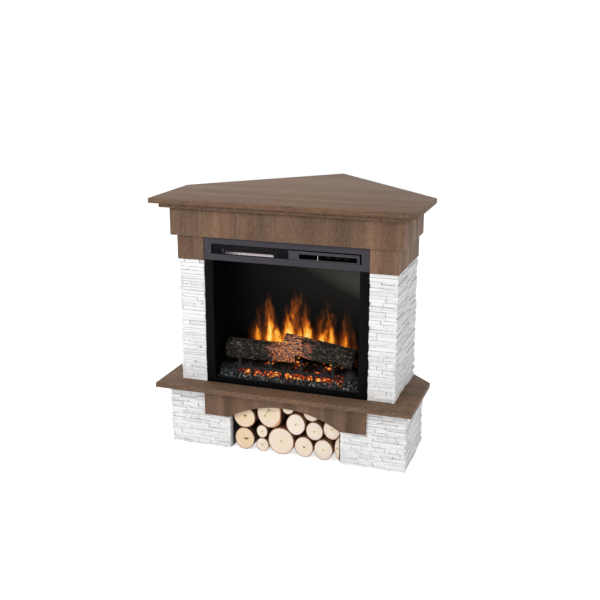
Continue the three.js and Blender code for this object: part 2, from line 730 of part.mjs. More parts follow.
// Heating strip with upright fins, on the housing's floor just inside the mesh.
const ELEMENT_END = 16; // from the housing's cheek to the strip
const ELEMENT_BASE = 4;
const ELEMENT_HEIGHT = 26;
const ELEMENT_DEPTH = 9;
const FIN_PITCH = 8.3;
const FIN = 3.3;

function buildHeatingElement() {
  const from = HEATER_LEFT + ELEMENT_END;
  const to = HEATER_RIGHT - ELEMENT_END;
  const y0 = CARCASS_FACE + 2;
  const z0 = DECK_TOP + HOUSING_WALL;
  const fins = Math.floor((to - from - FIN) / FIN_PITCH);
  const comb = [
    [from, z0],
    [from + fins * FIN_PITCH + FIN, z0],
  ];
  for (let i = fins; i >= 0; i--) {
    const x = from + i * FIN_PITCH;
    comb.push([x + FIN, z0 + ELEMENT_HEIGHT], [x, z0 + ELEMENT_HEIGHT]);
    if (i > 0) comb.push([x, z0 + ELEMENT_BASE], [x - FIN_PITCH + FIN, z0 + ELEMENT_BASE]);
  }
  add(insert, "heating_element", carryBack(outline(comb), y0, y0 + ELEMENT_DEPTH), brightMetal);
}

// ---------------------------------------------------------------- electric fire: controls

const BEZEL_HEIGHT = 34;
const BEZEL_SETBACK = 2;
const BEZEL_DEPTH = 20;
const SLOT_LEFT = BEZEL_LEFT + 41;
const SLOT_RIGHT = BEZEL_RIGHT - 10;
const SLOT_LOW = 5; // above the bezel's lower edge
const SLOT_HIGH = 23;
const SLOT_DEPTH = 14;
const BUTTON_NAMES = ["button_power", "button_flame", "button_heat"];
const BUTTON_PITCH = 34;
const BUTTON_LAST_X = SLOT_RIGHT - 42;
const BUTTON_WIDTH = 20;
const BUTTON_HEIGHT = 9;
const BUTTON_PROUD = 3;
const BUTTON_COLLAR = 1.5; // flange behind the slot that keeps a button in

function buildControls() {
  const face = INSERT_FACE + BEZEL_SETBACK;
  const floor = face + SLOT_DEPTH;
  const back = face + BEZEL_DEPTH;
  const slotLow = WINDOW_UNDER + SLOT_LOW;
  const slotHigh = WINDOW_UNDER + SLOT_HIGH;
  const middle = (slotLow + slotHigh) / 2;
  const block = box(
    [BEZEL_LEFT, face, WINDOW_UNDER],
    [BEZEL_RIGHT, back, WINDOW_UNDER + BEZEL_HEIGHT],
  );
  const slot = box([SLOT_LEFT, face - SLOT_DEPTH, slotLow], [SLOT_RIGHT, floor, slotHigh]);
  const ways = [];
  const flangeBack = floor + 2 * BUTTON_COLLAR;
  const collar = BUTTON_COLLAR;
  BUTTON_NAMES.forEach((name, i) => {
    const x = BUTTON_LAST_X + (i + 1 - BUTTON_NAMES.length) * BUTTON_PITCH;
    const cap = (grow, y0, y1) =>
      box(
        [x - BUTTON_WIDTH / 2 - grow, y0, middle - BUTTON_HEIGHT / 2 - grow],
        [x + BUTTON_WIDTH / 2 + grow, y1, middle + BUTTON_HEIGHT / 2 + grow],
      );
    ways.push(cap(GAP, face, back + collar));
    ways.push(cap(collar + GAP, flangeBack, back + collar));
    const stem = cap(0, floor - BUTTON_PROUD, flangeBack + GAP + collar);
    const flange = cap(collar, flangeBack + GAP, flangeBack + GAP + collar);
    add(insert, name, join(stem, flange), blackPlastic);
  });
  add(insert, "control_bezel", cut(block, slot, ...ways), charcoal);
}

// ---------------------------------------------------------------- electric fire: flame

const FLICKER_RADIUS = 15;
const FLICKER_VANES = 14;
const VANE = 1.2;
const FLICKER_MOTOR = 28; // length of its motor
const JOURNAL_LENGTH = 10; // end of the rod that turns in the motor
const LAMPS = 10;

function buildFlameParts() {
  const screen = box(
    [-CASING_INNER, SCREEN_FRONT, TRAY_TOP],
    [CASING_INNER, SCREEN_FRONT + SCREEN, VALANCE_UNDER],
  );
  add(insert, "flame_screen", screen, smokedScreen);

  // Flicker rod: bright vanes set round a spindle at changing angles.
  const left = SHEET - CASING_INNER + GAP;
  const right = CASING_INNER - FLICKER_MOTOR + JOURNAL_LENGTH;
  let rod = toSolid(barX(ROD_JOURNAL, left, right, 0, 0, 12));
  const vanesFrom = BUSH_LENGTH - CASING_INNER + 10;
  const vanesTo = CASING_INNER - FLICKER_MOTOR - 10;
  const pitch = (vanesTo - vanesFrom) / FLICKER_VANES;
  for (let i = 0; i < FLICKER_VANES; i++) {
    const x0 = vanesFrom + i * pitch;
    const vane = box([x0, -FLICKER_RADIUS, -VANE / 2], [x0 + pitch * 0.7, FLICKER_RADIUS, VANE / 2]);
    vane.applyMatrix4(new THREE.Matrix4().makeRotationX((i * 5 * Math.PI) / 12));
    rod = rod.add(toSolid(vane));
  }
  const placedRod = toGeometry(rod).translate(0, ROD_Y, ROD_Z);
  add(insert, "flicker_rod", placedRod, brightMetal);

  const motorFace = CASING_INNER - FLICKER_MOTOR;
  const motor = barX(14, motorFace, CASING_INNER, ROD_Y, ROD_Z, 20);
  const socket = barX(ROD_JOURNAL + GAP, motorFace - 1, right + GAP, ROD_Y, ROD_Z, 16);
  add(insert, "flicker_motor", cut(motor, socket), blackPlastic);

  // Light strip: an upturned channel with a row of lamps along its top.
  const reach = CASING_INNER - 40;
  const deep = 34;
  const high = 26;
  const channel = outline([
    [ROD_Y - deep / 2, TRAY_TOP],
    [ROD_Y - deep / 2 + 2, TRAY_TOP],
    [ROD_Y - deep / 2 + 2, TRAY_TOP + high - 2],
    [ROD_Y + deep / 2 - 2, TRAY_TOP + high - 2],
    [ROD_Y + deep / 2 - 2, TRAY_TOP],
    [ROD_Y + deep / 2, TRAY_TOP],
    [ROD_Y + deep / 2, TRAY_TOP + high],
    [ROD_Y - deep / 2, TRAY_TOP + high],
  ]);
  const lamps = [];
  for (let i = 0; i < LAMPS; i++) {
    const x = -reach + ((i + 0.5) * 2 * reach) / LAMPS;
    lamps.push(
      box([x - 3, ROD_Y - 3, TRAY_TOP + high - 1], [x + 3, ROD_Y + 3, TRAY_TOP + high + 3]),
    );
  }
  add(insert, "light_strip", join(carryAcross(channel, -reach, reach), ...lamps), boardGreen);
}

// ---------------------------------------------------------------- electric fire: fuel bed

const BED_FRONT_HIGH = 17; // ember bed above the tray at the front
const BED_REAR_HIGH = 54;
const GRATE_Y = INSERT_FACE + 36; // front of the grate
const GRATE_BAR = 10;
const GRATE_REACH = 90;
const BEARER_TOP = TRAY_TOP + 72;
const GRATE_LOW = BEARER_TOP - 16; // underside of the front bar
const LEDGE_TOP = TRAY_TOP + BED_FRONT_HIGH + 6; // ledge of the bed that the legs stand on
const POST_LEFT = 92 - CASING_INNER;
const POST_RIGHT = CASING_INNER - 112;
const POSTS = 4;
const LEG_STEP = 50; // from a post to the leg on its right
const LOG_SEGMENTS = 20;
const LOG_RINGS = 10;
const LOG_WAVE = 0.006; // half the depth of the wave along a log, as a share of its radius
const LOG_LOBE = 0.035; // and of the three hollows along its sides
const HOLLOW_DEPTH = 22; // rotted heart in the right log's far end
const LUMPS = 54; // coals moulded on the bed

const LOG_BACK = 98; // middle of a log's outer end behind the insert's face
const LEFT_LOG_END = 18; // outer end from the casing's side
const RIGHT_LOG_END = 26;
const LEFT_LOG_REACH = 8; // inner ends, right of the middle
const RIGHT_LOG_REACH = -24;
const SADDLE_END = 54; // heap of coals under the right log's far end, from the casing's side
const SADDLE_RADIUS = 14;

const mix = (a, b, share) => a + (b - a) * share;

// The left log lies on the grate. The right log's far end lies on a heap of coals at the same
// height, and its tip is raised until the log just clears the left one, over that one's end.
// Each log is [middle of one end, middle of the other, radius there, radius at the other].
function layLogs() {
  const lying = (x, y, radius) => [x, y, BEARER_TOP + radius + GAP];
  const [leftFat, leftThin, tipRadius, rightFat] = [43, 38, 40, 43];
  const leftFrom = lying(LEFT_LOG_END - CASING_INNER, INSERT_FACE + LOG_BACK, leftFat);
  const leftTo = lying(LEFT_LOG_REACH, INSERT_FACE + LOG_BACK + 20, leftThin);
  const rightTo = lying(CASING_INNER - RIGHT_LOG_END, INSERT_FACE + LOG_BACK, rightFat);
  const [tipX, tipY] = [RIGHT_LOG_REACH, INSERT_FACE + LOG_BACK - 40];
  const share = (leftTo[0] - tipX) / (rightTo[0] - tipX);
  const apart = leftThin + mix(tipRadius, rightFat, share) + 2 * GAP;
  const aside = leftTo[1] - mix(tipY, rightTo[1], share);
  const crossing = leftTo[2] + Math.sqrt(apart ** 2 - aside ** 2);
  const tip = [tipX, tipY, (crossing - share * rightTo[2]) / (1 - share)];
  return {
    left: [leftFrom, leftTo, leftFat, leftThin],
    right: [tip, rightTo, tipRadius, rightFat],
  };
}
const LOGS = layLogs();

// The heap's flat top is at the height of the log's underside over the heap's far edge.
function logSaddle() {
  const [tip, end, tipRadius, endRadius] = LOGS.right;
  const x = CASING_INNER - SADDLE_END;
  const shareAt = (place) => (place - tip[0]) / (end[0] - tip[0]);
  const run = new THREE.Vector3(...tip).distanceTo(new THREE.Vector3(...end)) / (end[0] - tip[0]);
  const edge = shareAt(x + SADDLE_RADIUS);
  const top = mix(tip[2], end[2], edge) - mix(tipRadius, endRadius, edge) * run - GAP;
  const high = top - TRAY_TOP - BED_FRONT_HIGH;
  const heap = new THREE.CylinderGeometry(SADDLE_RADIUS, 2 * SADDLE_RADIUS, high, 10);
  return heap.rotateX(Math.PI / 2).translate(x, mix(tip[1], end[1], shareAt(x)), top - high / 2);
}

// Half-sunk coals, in a row before the grate and over the slope behind it.
function coals(slope) {
  const next = dice(71);
  const reach = CASING_INNER - 20;
  const lumps = [];
  for (let i = 0; i < LUMPS; i++) {
    const before = i % 5 < 2;
    const radius = before ? 5.5 + next() : 7 + 3 * next();
    const { x: y, y: z } = slope.getPoint(0.25 + 0.6 * next());
    const place = before
      ? [CARCASS_FACE + 9 + next(), TRAY_TOP + BED_FRONT_HIGH + 1]
      : [y, z];
    const lump = new THREE.IcosahedronGeometry(radius, 0)
      .rotateZ(Math.PI * next())
      .scale(1.2, 1, 0.6)
      .translate(reach * (2 * next() - 1), ...place);
    lumps.push(lump);
  }
  return lumps;
}

function buildEmberBed() {
  const y0 = CARCASS_FACE + GAP;
  const rear = [SCREEN_FRONT - GAP, TRAY_TOP + BED_REAR_HIGH];
  const bed = new THREE.Shape();
  bed.moveTo(y0, TRAY_TOP);
  bed.lineTo(y0, TRAY_TOP + BED_FRONT_HIGH);
  bed.lineTo(GRATE_Y - 4, LEDGE_TOP);
  bed.lineTo(GRATE_Y + 10, LEDGE_TOP);
  bed.quadraticCurveTo(GRATE_Y + 30, TRAY_TOP + BED_REAR_HIGH, ...rear);
  const slope = bed.curves.at(-1);
  bed.lineTo(SCREEN_FRONT - GAP, TRAY_TOP);
  bed.closePath();
  const body = carryAcross(bed, GAP - CASING_INNER, CASING_INNER - GAP, 8);
  add(insert, "ember_bed", join(body, logSaddle(), ...coals(slope)), emberResin);
}

// Fire grate: a front bar, hooked uprights that run back as bearers, and legs on the bed.
function buildGrate() {
  const pitch = (POST_RIGHT - POST_LEFT) / (POSTS - 1);
  const thick = 6;
  const inside = GRATE_Y + thick;
  const hook = BEARER_TOP + 30;
  const finger = new THREE.Shape();
  finger.moveTo(GRATE_Y, GRATE_LOW + 2);
  finger.lineTo(GRATE_Y, hook);
  finger.quadraticCurveTo(GRATE_Y, hook + 8, GRATE_Y - thick, hook + 9);
  finger.lineTo(GRATE_Y - thick, hook + 14);
  finger.quadraticCurveTo(inside, hook + 14, inside, hook);
  finger.lineTo(inside, BEARER_TOP + 12);
  finger.quadraticCurveTo(inside, BEARER_TOP, inside + 12, BEARER_TOP);
  finger.lineTo(GRATE_Y + GRATE_REACH, BEARER_TOP);
  finger.lineTo(GRATE_Y + GRATE_REACH, BEARER_TOP - 8);
  finger.lineTo(inside + 14, BEARER_TOP - 8);
  finger.quadraticCurveTo(inside, BEARER_TOP - 8, inside, GRATE_LOW + 2);
  finger.closePath();
  const pieces = [];
  for (let i = 0; i < POSTS; i++) {
    const x = POST_LEFT + i * pitch;
    pieces.push(carryAcross(finger, x - GRATE_BAR / 2, x + GRATE_BAR / 2, 4));
    const leg = x + LEG_STEP;
    if (i < POSTS - 1)
      pieces.push(box([leg - 5, GRATE_Y, LEDGE_TOP], [leg + 5, inside, GRATE_LOW + 1]));
  }
  const bar = box([POST_LEFT - 8, GRATE_Y, GRATE_LOW], [POST_RIGHT + 8, inside, GRATE_LOW + 11]);
  add(insert, "grate", join(bar, ...pieces), castIron);
}

// How a turned shape, made along Y from the origin, is turned to run from one point to another.
function turnTowards(from, to) {
  const way = new THREE.Vector3(...to).sub(new THREE.Vector3(...from)).normalize();
  return new THREE.Quaternion().setFromUnitVectors(new THREE.Vector3(0, 1, 0), way);
}

// A tapered log between two end centres, with a low wave along its side and three shallow
// hollows round it. It keeps its full radius straight down, where it lies on the grate.
function taperedLog(from, to, fromRadius, toRadius) {
  const length = new THREE.Vector3(...from).distanceTo(new THREE.Vector3(...to));
  const spin = turnTowards(from, to);
  const profile = [new THREE.Vector2(0, 0)];
  for (let i = 0; i <= LOG_RINGS; i++) {
    const t = i / LOG_RINGS;
    const wave = 1 - LOG_WAVE * (1 - Math.cos(4 * Math.PI * t));
    profile.push(new THREE.Vector2((fromRadius + (toRadius - fromRadius) * t) * wave, t * length));
  }
  profile.push(new THREE.Vector2(0, length));
  const down = new THREE.Vector3(0, 0, -1).applyQuaternion(spin.clone().invert());
  const lowest = Math.atan2(down.x, down.z);
  const turnedLog = new THREE.LatheGeometry(profile, LOG_SEGMENTS, lowest);
  const log = remap(turnedLog, (x, y, z) => {
    const round = Math.atan2(x, z) - lowest;
    const lobe = 1 - LOG_LOBE * (1 - Math.cos(3 * round));
    return [x * lobe, y, z * lobe];
  });
  return log.applyQuaternion(spin).translate(...from);
}

// The rotted heart of a log: a blunt cone that runs in from its end.
function hollowHeart(from, to, fromRadius, radius) {
  const length = new THREE.Vector3(...from).distanceTo(new THREE.Vector3(...to));
  const heart = new THREE.LatheGeometry(
    [
      new THREE.Vector2(0, length - HOLLOW_DEPTH),
      new THREE.Vector2(radius * 0.45, length - HOLLOW_DEPTH),
      new THREE.Vector2(radius * 0.7, length + 1),
      new THREE.Vector2(0, length + 1),
    ],
    LOG_SEGMENTS / 2,
  );
  return heart.applyQuaternion(turnTowards(from, to)).translate(...from);
}

function buildLogs() {
  const { left, right } = LOGS;
  const [leftLog, rightLog] = [left, right].map((log) => taperedLog(...log));
  add(insert, "log_left", leftLog, logResin);
  add(insert, "log_right", cut(rightLog, hollowHeart(...right)), logResin);
}

buildTop();
buildFrieze();
buildColumns();
buildCarcass();
buildShelf();
buildPlinths();
buildNiche();
buildApron();
buildFirewood();
buildTrim();
buildCasing();
buildOutletGrille();
buildBlowerWheel();
buildBlowerHousing();
buildHeatingElement();
buildControls();
buildFlameParts();
buildEmberBed();
buildGrate();
buildLogs();

export default fireplace;
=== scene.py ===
# %% [markdown]
# # A corner fireplace: the visual model
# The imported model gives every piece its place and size. This lesson gives each of them
# the surface that the real one has: printed walnut boards, split stone, coated steel,
# moulded logs that seem to glow, and birch rounds in the niche. Everything is in metres,
# with the front facing -Y and the corner of the room at +Y.

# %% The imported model
import math
import random

import bmesh
import bpy
from mathutils import Matrix, Vector, noise


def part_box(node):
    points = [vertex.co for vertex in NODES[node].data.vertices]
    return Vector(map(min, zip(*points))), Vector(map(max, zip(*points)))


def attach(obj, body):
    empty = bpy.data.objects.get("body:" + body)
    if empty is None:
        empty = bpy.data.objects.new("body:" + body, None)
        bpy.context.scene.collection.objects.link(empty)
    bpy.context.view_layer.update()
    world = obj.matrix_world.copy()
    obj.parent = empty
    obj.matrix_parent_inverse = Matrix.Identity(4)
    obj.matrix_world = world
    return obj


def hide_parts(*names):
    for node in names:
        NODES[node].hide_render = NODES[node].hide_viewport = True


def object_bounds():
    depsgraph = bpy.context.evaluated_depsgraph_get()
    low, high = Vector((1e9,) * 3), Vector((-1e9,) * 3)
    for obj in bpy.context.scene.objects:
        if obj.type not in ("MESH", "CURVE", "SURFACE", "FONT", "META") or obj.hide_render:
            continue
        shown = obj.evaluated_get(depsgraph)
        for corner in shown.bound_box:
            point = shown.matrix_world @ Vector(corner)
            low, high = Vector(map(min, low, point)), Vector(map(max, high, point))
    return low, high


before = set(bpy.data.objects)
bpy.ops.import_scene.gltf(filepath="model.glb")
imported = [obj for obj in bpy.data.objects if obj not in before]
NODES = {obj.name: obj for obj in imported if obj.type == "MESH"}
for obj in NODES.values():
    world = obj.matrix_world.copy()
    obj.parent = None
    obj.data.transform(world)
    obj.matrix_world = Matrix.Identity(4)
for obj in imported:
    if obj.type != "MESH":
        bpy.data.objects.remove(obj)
CAD_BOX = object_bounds()
MM = 0.001
print("pieces in the packed model:", len(NODES))

# %% [markdown]
# ## Where the camera stands
# The photograph looks at the fireplace from a little to its right and from above, with a
# long lens. The camera's place and turn were worked out from the slab's corners, so an
# edge of the render falls on the same edge of the photograph.

# %% Camera
CAMERA_PLACE = (1.1618, -3.5872, 1.5933)
CAMERA_TILT = 74.36
CAMERA_TURN = 18.76
LENS_MM = 57.29
SENSOR_MM = 36

camera_data = bpy.data.cameras.new("photo_camera")
camera_data.lens = LENS_MM
camera_data.sensor_width = SENSOR_MM
camera = bpy.data.objects.new("photo_camera", camera_data)
camera.location = CAMERA_PLACE
camera.rotation_euler = (math.radians(CAMERA_TILT), 0, math.radians(CAMERA_TURN))
bpy.context.collection.objects.link(camera)
bpy.context.scene.camera = camera
bpy.context.scene.view_settings.view_transform = "Standard"
print("camera at", CAMERA_PLACE)

# %% [markdown]
# ## Shader sums written as Python
# A material is a small net of nodes. Sums are easier to read as expressions, so `Value`
# wraps one socket and turns +, -, * and / into Math nodes. Every other node comes from
# `Net.node`, which takes its type, its settings and what goes into its sockets.


# %% Value: a number that changes over a surface
class Value:
    def __init__(self, net, socket):
        self.net = net
        self.socket = socket

    def maths(self, operation, *others, swap=False):
        pair = [*others, self] if swap else [self, *others]
        return self.net.node("ShaderNodeMath", {"operation": operation}, pair)

    def __add__(self, other):
        return self.maths("ADD", other)

    __radd__ = __add__

    def __sub__(self, other):
        return self.maths("SUBTRACT", other)

    def __rsub__(self, other):
        return self.maths("SUBTRACT", other, swap=True)

    def __mul__(self, other):
        return self.maths("MULTIPLY", other)

    __rmul__ = __mul__

    def __truediv__(self, other):
        return self.maths("DIVIDE", other)

    def __pow__(self, other):
        return self.maths("POWER", other)

    def most(self, other):
        return self.maths("MAXIMUM", other)

    def size(self):
        return self.maths("ABSOLUTE")

    def within(self, low, high):
        """0 below low, 1 above high and smooth between; turned round if low is above high."""
        settings = {"interpolation_type": "SMOOTHSTEP"}
        return self.net.node("ShaderNodeMapRange", settings, [self, low, high, 0.0, 1.0])


# %% Net and Finish: the nodes of one material
def linear(red, green, blue):
    """A colour as a photograph shows it, 0 to 255, in the renderer's own scale."""

    def channel(level):
        share = level / 255
        return share / 12.92 if share <= 0.04045 else ((share + 0.055) / 1.055) ** 2.4

    return (channel(red), channel(green), channel(blue), 1.0)


class Net:
    """A node tree, with one method that makes any node."""

    def __init__(self, tree):
        self.tree = tree

    def feed(self, place, value):
        if isinstance(value, Value):
            self.tree.links.new(value.socket, place)
        else:
            place.default_value = value

    def node(self, kind, settings=None, sockets=(), out=0):
        made = self.tree.nodes.new(kind)
        for name, value in (settings or {}).items():
            if name == "stops":
                self.set_stops(made.color_ramp, value)
            else:
                setattr(made, name, value)
        places = sockets.items() if isinstance(sockets, dict) else enumerate(sockets)
        for place, value in places:
            self.feed(made.inputs[place], value)
        return Value(self, made.outputs[out])

    @staticmethod
    def set_stops(ramp, stops):
        while len(ramp.elements) < len(stops):
            ramp.elements.new(1.0)
        for element, (position, colour) in zip(ramp.elements, stops):
            element.position = position
            element.color = colour

    def sight(self):
        """1 where the camera looks, straight, in a shiny surface or through glass."""
        names = ("Is Camera Ray", "Is Glossy Ray", "Is Transmission Ray")
        straight, mirrored, through = [self.node("ShaderNodeLightPath", out=n) for n in names]
        return straight.most(mirrored).most(through)


class Finish(Net):
    def __init__(self, name, **constants):
        self.material = bpy.data.materials.new(name)
        self.material.use_nodes = True
        super().__init__(self.material.node_tree)
        self.shader = self.tree.nodes["Principled BSDF"]
        self.set(**constants)

    def set(self, **sockets):
        """Feeds sockets of the shader, named with _ for a space: Base_Color, Roughness."""
        for name, value in sockets.items():
            self.feed(self.shader.inputs[name.replace("_", " ")], value)

    def place(self, scale=(1, 1, 1), turn=(0, 0, 0), move=(0, 0, 0)):
        """The piece's own metres, stretched, turned and moved."""
        metres = self.node("ShaderNodeTexCoord", out=3)
        sockets = {"Vector": metres, "Location": move, "Rotation": turn, "Scale": scale}
        return self.node("ShaderNodeMapping", {}, sockets)

    def axes(self, vector):
        return [self.node("ShaderNodeSeparateXYZ", {}, [vector], out) for out in range(3)]

    def vector(self, x, y, z):
        return self.node("ShaderNodeCombineXYZ", {}, [x, y, z])

    def noise(self, vector, scale, detail=4.0, rough=0.5, bend=0.0):
        sockets = {"Vector": vector, "Scale": scale, "Detail": detail}
        sockets.update({"Roughness": rough, "Distortion": bend})
        return self.node("ShaderNodeTexNoise", {}, sockets)

    def cells(self, vector, scale, feature="F1"):
        sockets = {"Vector": vector, "Scale": scale}
        return self.node("ShaderNodeTexVoronoi", {"feature": feature}, sockets)

    def attribute(self, name, out=2):
        return self.node("ShaderNodeAttribute", {"attribute_name": name}, out=out)

    def ramp(self, factor, *stops):
        return self.node("ShaderNodeValToRGB", {"stops": stops}, [factor])

    def mix(self, factor, first, second, blend="MIX"):
        settings = {"data_type": "RGBA", "blend_type": blend}
        return self.node("ShaderNodeMix", settings, {0: factor, 6: first, 7: second}, out=2)

    def bump(self, height, strength, depth):
        """Sets fine relief; depth is in metres."""
        sockets = {"Strength": strength, "Distance": depth, "Height": height}
        self.set(Normal=self.node("ShaderNodeBump", {}, sockets))


# %% [markdown]
# ## Printed walnut
# The boards are particle board in a printed walnut foil. The print has soft bands a few
# centimetres wide, warm where the wood was cut slanting and greyer in between, over fine
# fibres. It could be a picture, but stretched noise gives a print that never repeats:
# the space is squeezed along the grain, so every blot becomes a long streak.


# %% Walnut foil
ALONG_THE_GRAIN = 0.06
ALONG_A_FIBRE = 0.16
WALNUT_TONES = [
    (0.38, (70, 52, 40)),
    (0.50, (106, 82, 65)),
    (0.58, (124, 98, 78)),
    (0.68, (158, 125, 100)),
]


def walnut(name, grain, figure, level, knots=()):
    """grain is the axis that the fibres follow, 0 for X or 2 for Z; figure is how bold
    the bands are; level lightens the foil; knots are x and z places."""
    finish = Finish(name, Specular_IOR_Level=0.2)
    squeeze = [1.0, 1.0, 1.0]
    squeeze[grain] = ALONG_THE_GRAIN
    streaks = finish.place(squeeze)
    if knots:
        streaks = bent_round_knots(finish, squeeze, knots)
    squeeze[grain] = ALONG_A_FIBRE
    short = finish.place(squeeze)
    bands = finish.noise(streaks, 13, 2.0, 0.4, 0.3)
    strips = finish.noise(streaks, 60, 3.0, 0.6, 0.4)
    fibres = finish.noise(short, 380, 4.0, 0.75)
    tone = bands * figure + strips * 0.14 + fibres * (0.96 - figure)
    stops = [(at, linear(*(part * level for part in colour))) for at, colour in WALNUT_TONES]
    wood = finish.ramp(tone, *stops)
    warm = finish.noise(finish.place(squeeze, move=(0.7, 0.2, 0.4)), 14, 2.0, 0.5)
    warmed = finish.mix(warm.within(0.45, 0.68) * 0.26, wood, linear(142, 99, 70))
    pores = finish.noise(finish.place(squeeze, move=(0.3, 0.1, 0.7)), 520, 3.0, 0.65)
    dark = pores.within(0.54, 0.66)
    finish.set(Base_Color=finish.mix(dark * 0.52, warmed, linear(58, 43, 34)))
    finish.set(Roughness=0.66 - strips * 0.16)
    finish.bump(fibres - dark, 0.3, 0.0003)
    return finish.material


def bent_round_knots(finish, squeeze, knots):
    """Pushes the streaks aside round each knot, as fibres flow round a branch."""
    x, y, z = finish.axes(finish.place())
    for knot_x, knot_z in knots:
        aside = (x - knot_x) * 9.0
        above = (z - knot_z) * 5.0
        near = (aside * aside + above * above) * -9.0
        x = x + near.maths("EXPONENT") * 0.03 * (aside * 26.0).maths("SINE")
    return finish.vector(x * squeeze[0], y * squeeze[1], z * squeeze[2])


KNOTS = [(-0.335, 0.905)]
WALNUT_LONG = walnut("walnut_lengthwise", grain=0, figure=0.17, level=0.93)
WALNUT_UPRIGHT = walnut("walnut_upright", grain=2, figure=0.55, level=0.97)
WALNUT_KNOTTED = walnut("walnut_knotted", grain=2, figure=0.48, level=0.97, knots=KNOTS)
print("walnut foils ready")

# %% [markdown]
# ## Pieces from bmesh
# `piece` ends every piece: it turns a bmesh into an object whose place is in its mesh, hangs
# it on its body and hides the imported pieces that it stands for. `copy_of` starts one from
# the imported piece itself: its triangles are merged and flattened again, ready for a bevel.

# %% Making pieces
ROOT = "fireplace"


def as_mesh(bm, name):
    mesh = bpy.data.meshes.new(name)
    bm.to_mesh(mesh)
    bm.free()
    return mesh


def in_scene(bm, name, materials):
    mesh = as_mesh(bm, name)
    for material in materials:
        mesh.materials.append(material)
    made = bpy.data.objects.new(name, mesh)
    bpy.context.collection.objects.link(made)
    return made


def piece(bm, name, materials, stands_for=(), body=ROOT, smooth=None):
    """smooth is the widest angle between faces, in degrees, that is shaded as one surface."""
    if smooth is not None:
        limit = math.radians(smooth)
        for face in bm.faces:
            face.smooth = True
        for edge in bm.edges:
            edge.smooth = edge.is_manifold and edge.calc_face_angle(math.pi) < limit
    made = in_scene(bm, name, materials)
    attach(made, body)
    if stands_for:
        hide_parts(*stands_for)
    print(name, "has", len(made.data.polygons), "faces")


def copy_of(node):
    bm = bmesh.new()
    bm.from_mesh(NODES[node].data)
    bmesh.ops.remove_doubles(bm, verts=bm.verts, dist=1e-5)
    flat = math.radians(0.5)
    bmesh.ops.dissolve_limit(bm, angle_limit=flat, verts=bm.verts, edges=bm.edges)
    return bm


def bevelled(bm, width, segments=2, sharper_than=25):
    limit = math.radians(sharper_than)
    sharp = [e for e in bm.edges if e.is_manifold and e.calc_face_angle(0) > limit]
    bmesh.ops.bevel(
        bm,
        geom=sharp,
        offset=width,
        offset_type="OFFSET",
        affect="EDGES",
        segments=segments,
        profile=0.5,
        material=-1,
        clamp_overlap=True,
    )
    return bm


def box_into(bm, low, high, material=0):
    """A block between two corners, added to bm."""
    middle = (Vector(low) + Vector(high)) / 2
    size = Vector(high) - Vector(low)
    spread = Matrix.Translation(middle) @ Matrix.Diagonal((*size, 1))
    made = bmesh.ops.create_cube(bm, size=1, matrix=spread)
    for face in {f for v in made["verts"] for f in v.link_faces}:
        face.material_index = material
    return made["verts"]


# %% Small helpers
def new_verts(made):
    """The vertices among all that an operator made."""
    return [item for item in made["geom"] if isinstance(item, bmesh.types.BMVert)]


def left_handed(bm):
    """Turns a right-hand piece into a left-hand one."""
    bmesh.ops.scale(bm, vec=(-1, 1, 1), verts=bm.verts)
    bmesh.ops.reverse_faces(bm, faces=bm.faces)


def any_vector(dice, low, high):
    return Vector([dice.uniform(low, high) for _ in range(3)])


def share_of(value):
    """The value, held between 0 and 1."""
    return max(0.0, min(1.0, value))


# %% [markdown]
# ## The boards
# A foil-wrapped board has crisp edges, but not knife edges: the foil turns round a radius
# of about a millimetre, and that is what catches a thin line of light. So each board is
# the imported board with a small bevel. The slab and the shelf have their grain lengthwise.
# The frieze, capitals and apron have it upright, as short boards cut from one long strip.

# %% Boards of the mantel
BOARDS = {
    "top_slab": WALNUT_LONG,
    "cornice_board": WALNUT_LONG,
    "hearth_shelf": WALNUT_LONG,
    "frieze_front": WALNUT_KNOTTED,
    "frieze_left": WALNUT_UPRIGHT,
    "frieze_right": WALNUT_UPRIGHT,
    "capital_left": WALNUT_UPRIGHT,
    "capital_right": WALNUT_UPRIGHT,
    "apron_board": WALNUT_UPRIGHT,
}
FOIL_RADIUS = 1.1 * MM

for node, material in BOARDS.items():
    board = bevelled(copy_of(node), FOIL_RADIUS)
    piece(board, node + "_foiled", [material], [node], smooth=40)


# %% [markdown]
# ## Split-face stone
# The columns and plinths are clad in white ledger stone: thin courses of changing height,
# each stone split from a block, so its face is rough and stands out by a different
# amount. Each stone is a small grid pushed in and out by noise, with chipped edges, and
# walls drawn back to a bed behind. The bed's dark grey is painted shade, which darkens the
# joints. Layout and noise come from a seeded generator, so the wall is the same every time.
# Stones on a corner run through in turn, like quoins.


# %% Stone finish
def stone_finish():
    finish = Finish("white_ledger_stone", Roughness=0.9)
    finish.set(Specular_IOR_Level=0.25)
    metres = finish.place()
    tone = finish.attribute("tone")
    blotches = finish.noise(metres, 60, 4.0, 0.6)
    grit = finish.noise(metres, 900, 3.0, 0.7)
    level = tone * 0.34 + blotches * 0.46 + grit * 0.3
    colour = finish.ramp(
        level,
        (0.3, linear(228, 228, 228)),
        (0.5, linear(245, 245, 245)),
        (0.75, linear(253, 253, 253)),
    )
    finish.set(Base_Color=colour)
    finish.bump(grit * 0.5 + finish.noise(metres, 240, 4.0, 0.7), 0.6, 0.001)
    return finish.material


# The bed shows only in the joints between stones, and its dark grey is painted shade there.
def bed_finish_with_painted_shade():
    finish = Finish("stone_bed_painted_shade", Roughness=0.95)
    grains = finish.noise(finish.place(), 400, 3.0, 0.6)
    colour = finish.ramp(grains, (0.3, linear(62, 61, 60)), (0.7, linear(98, 97, 95)))
    finish.set(Base_Color=colour)
    finish.bump(grains, 0.4, 0.0006)
    return finish.material


STONE = stone_finish()
STONE_BED_PAINTED_SHADE = bed_finish_with_painted_shade()

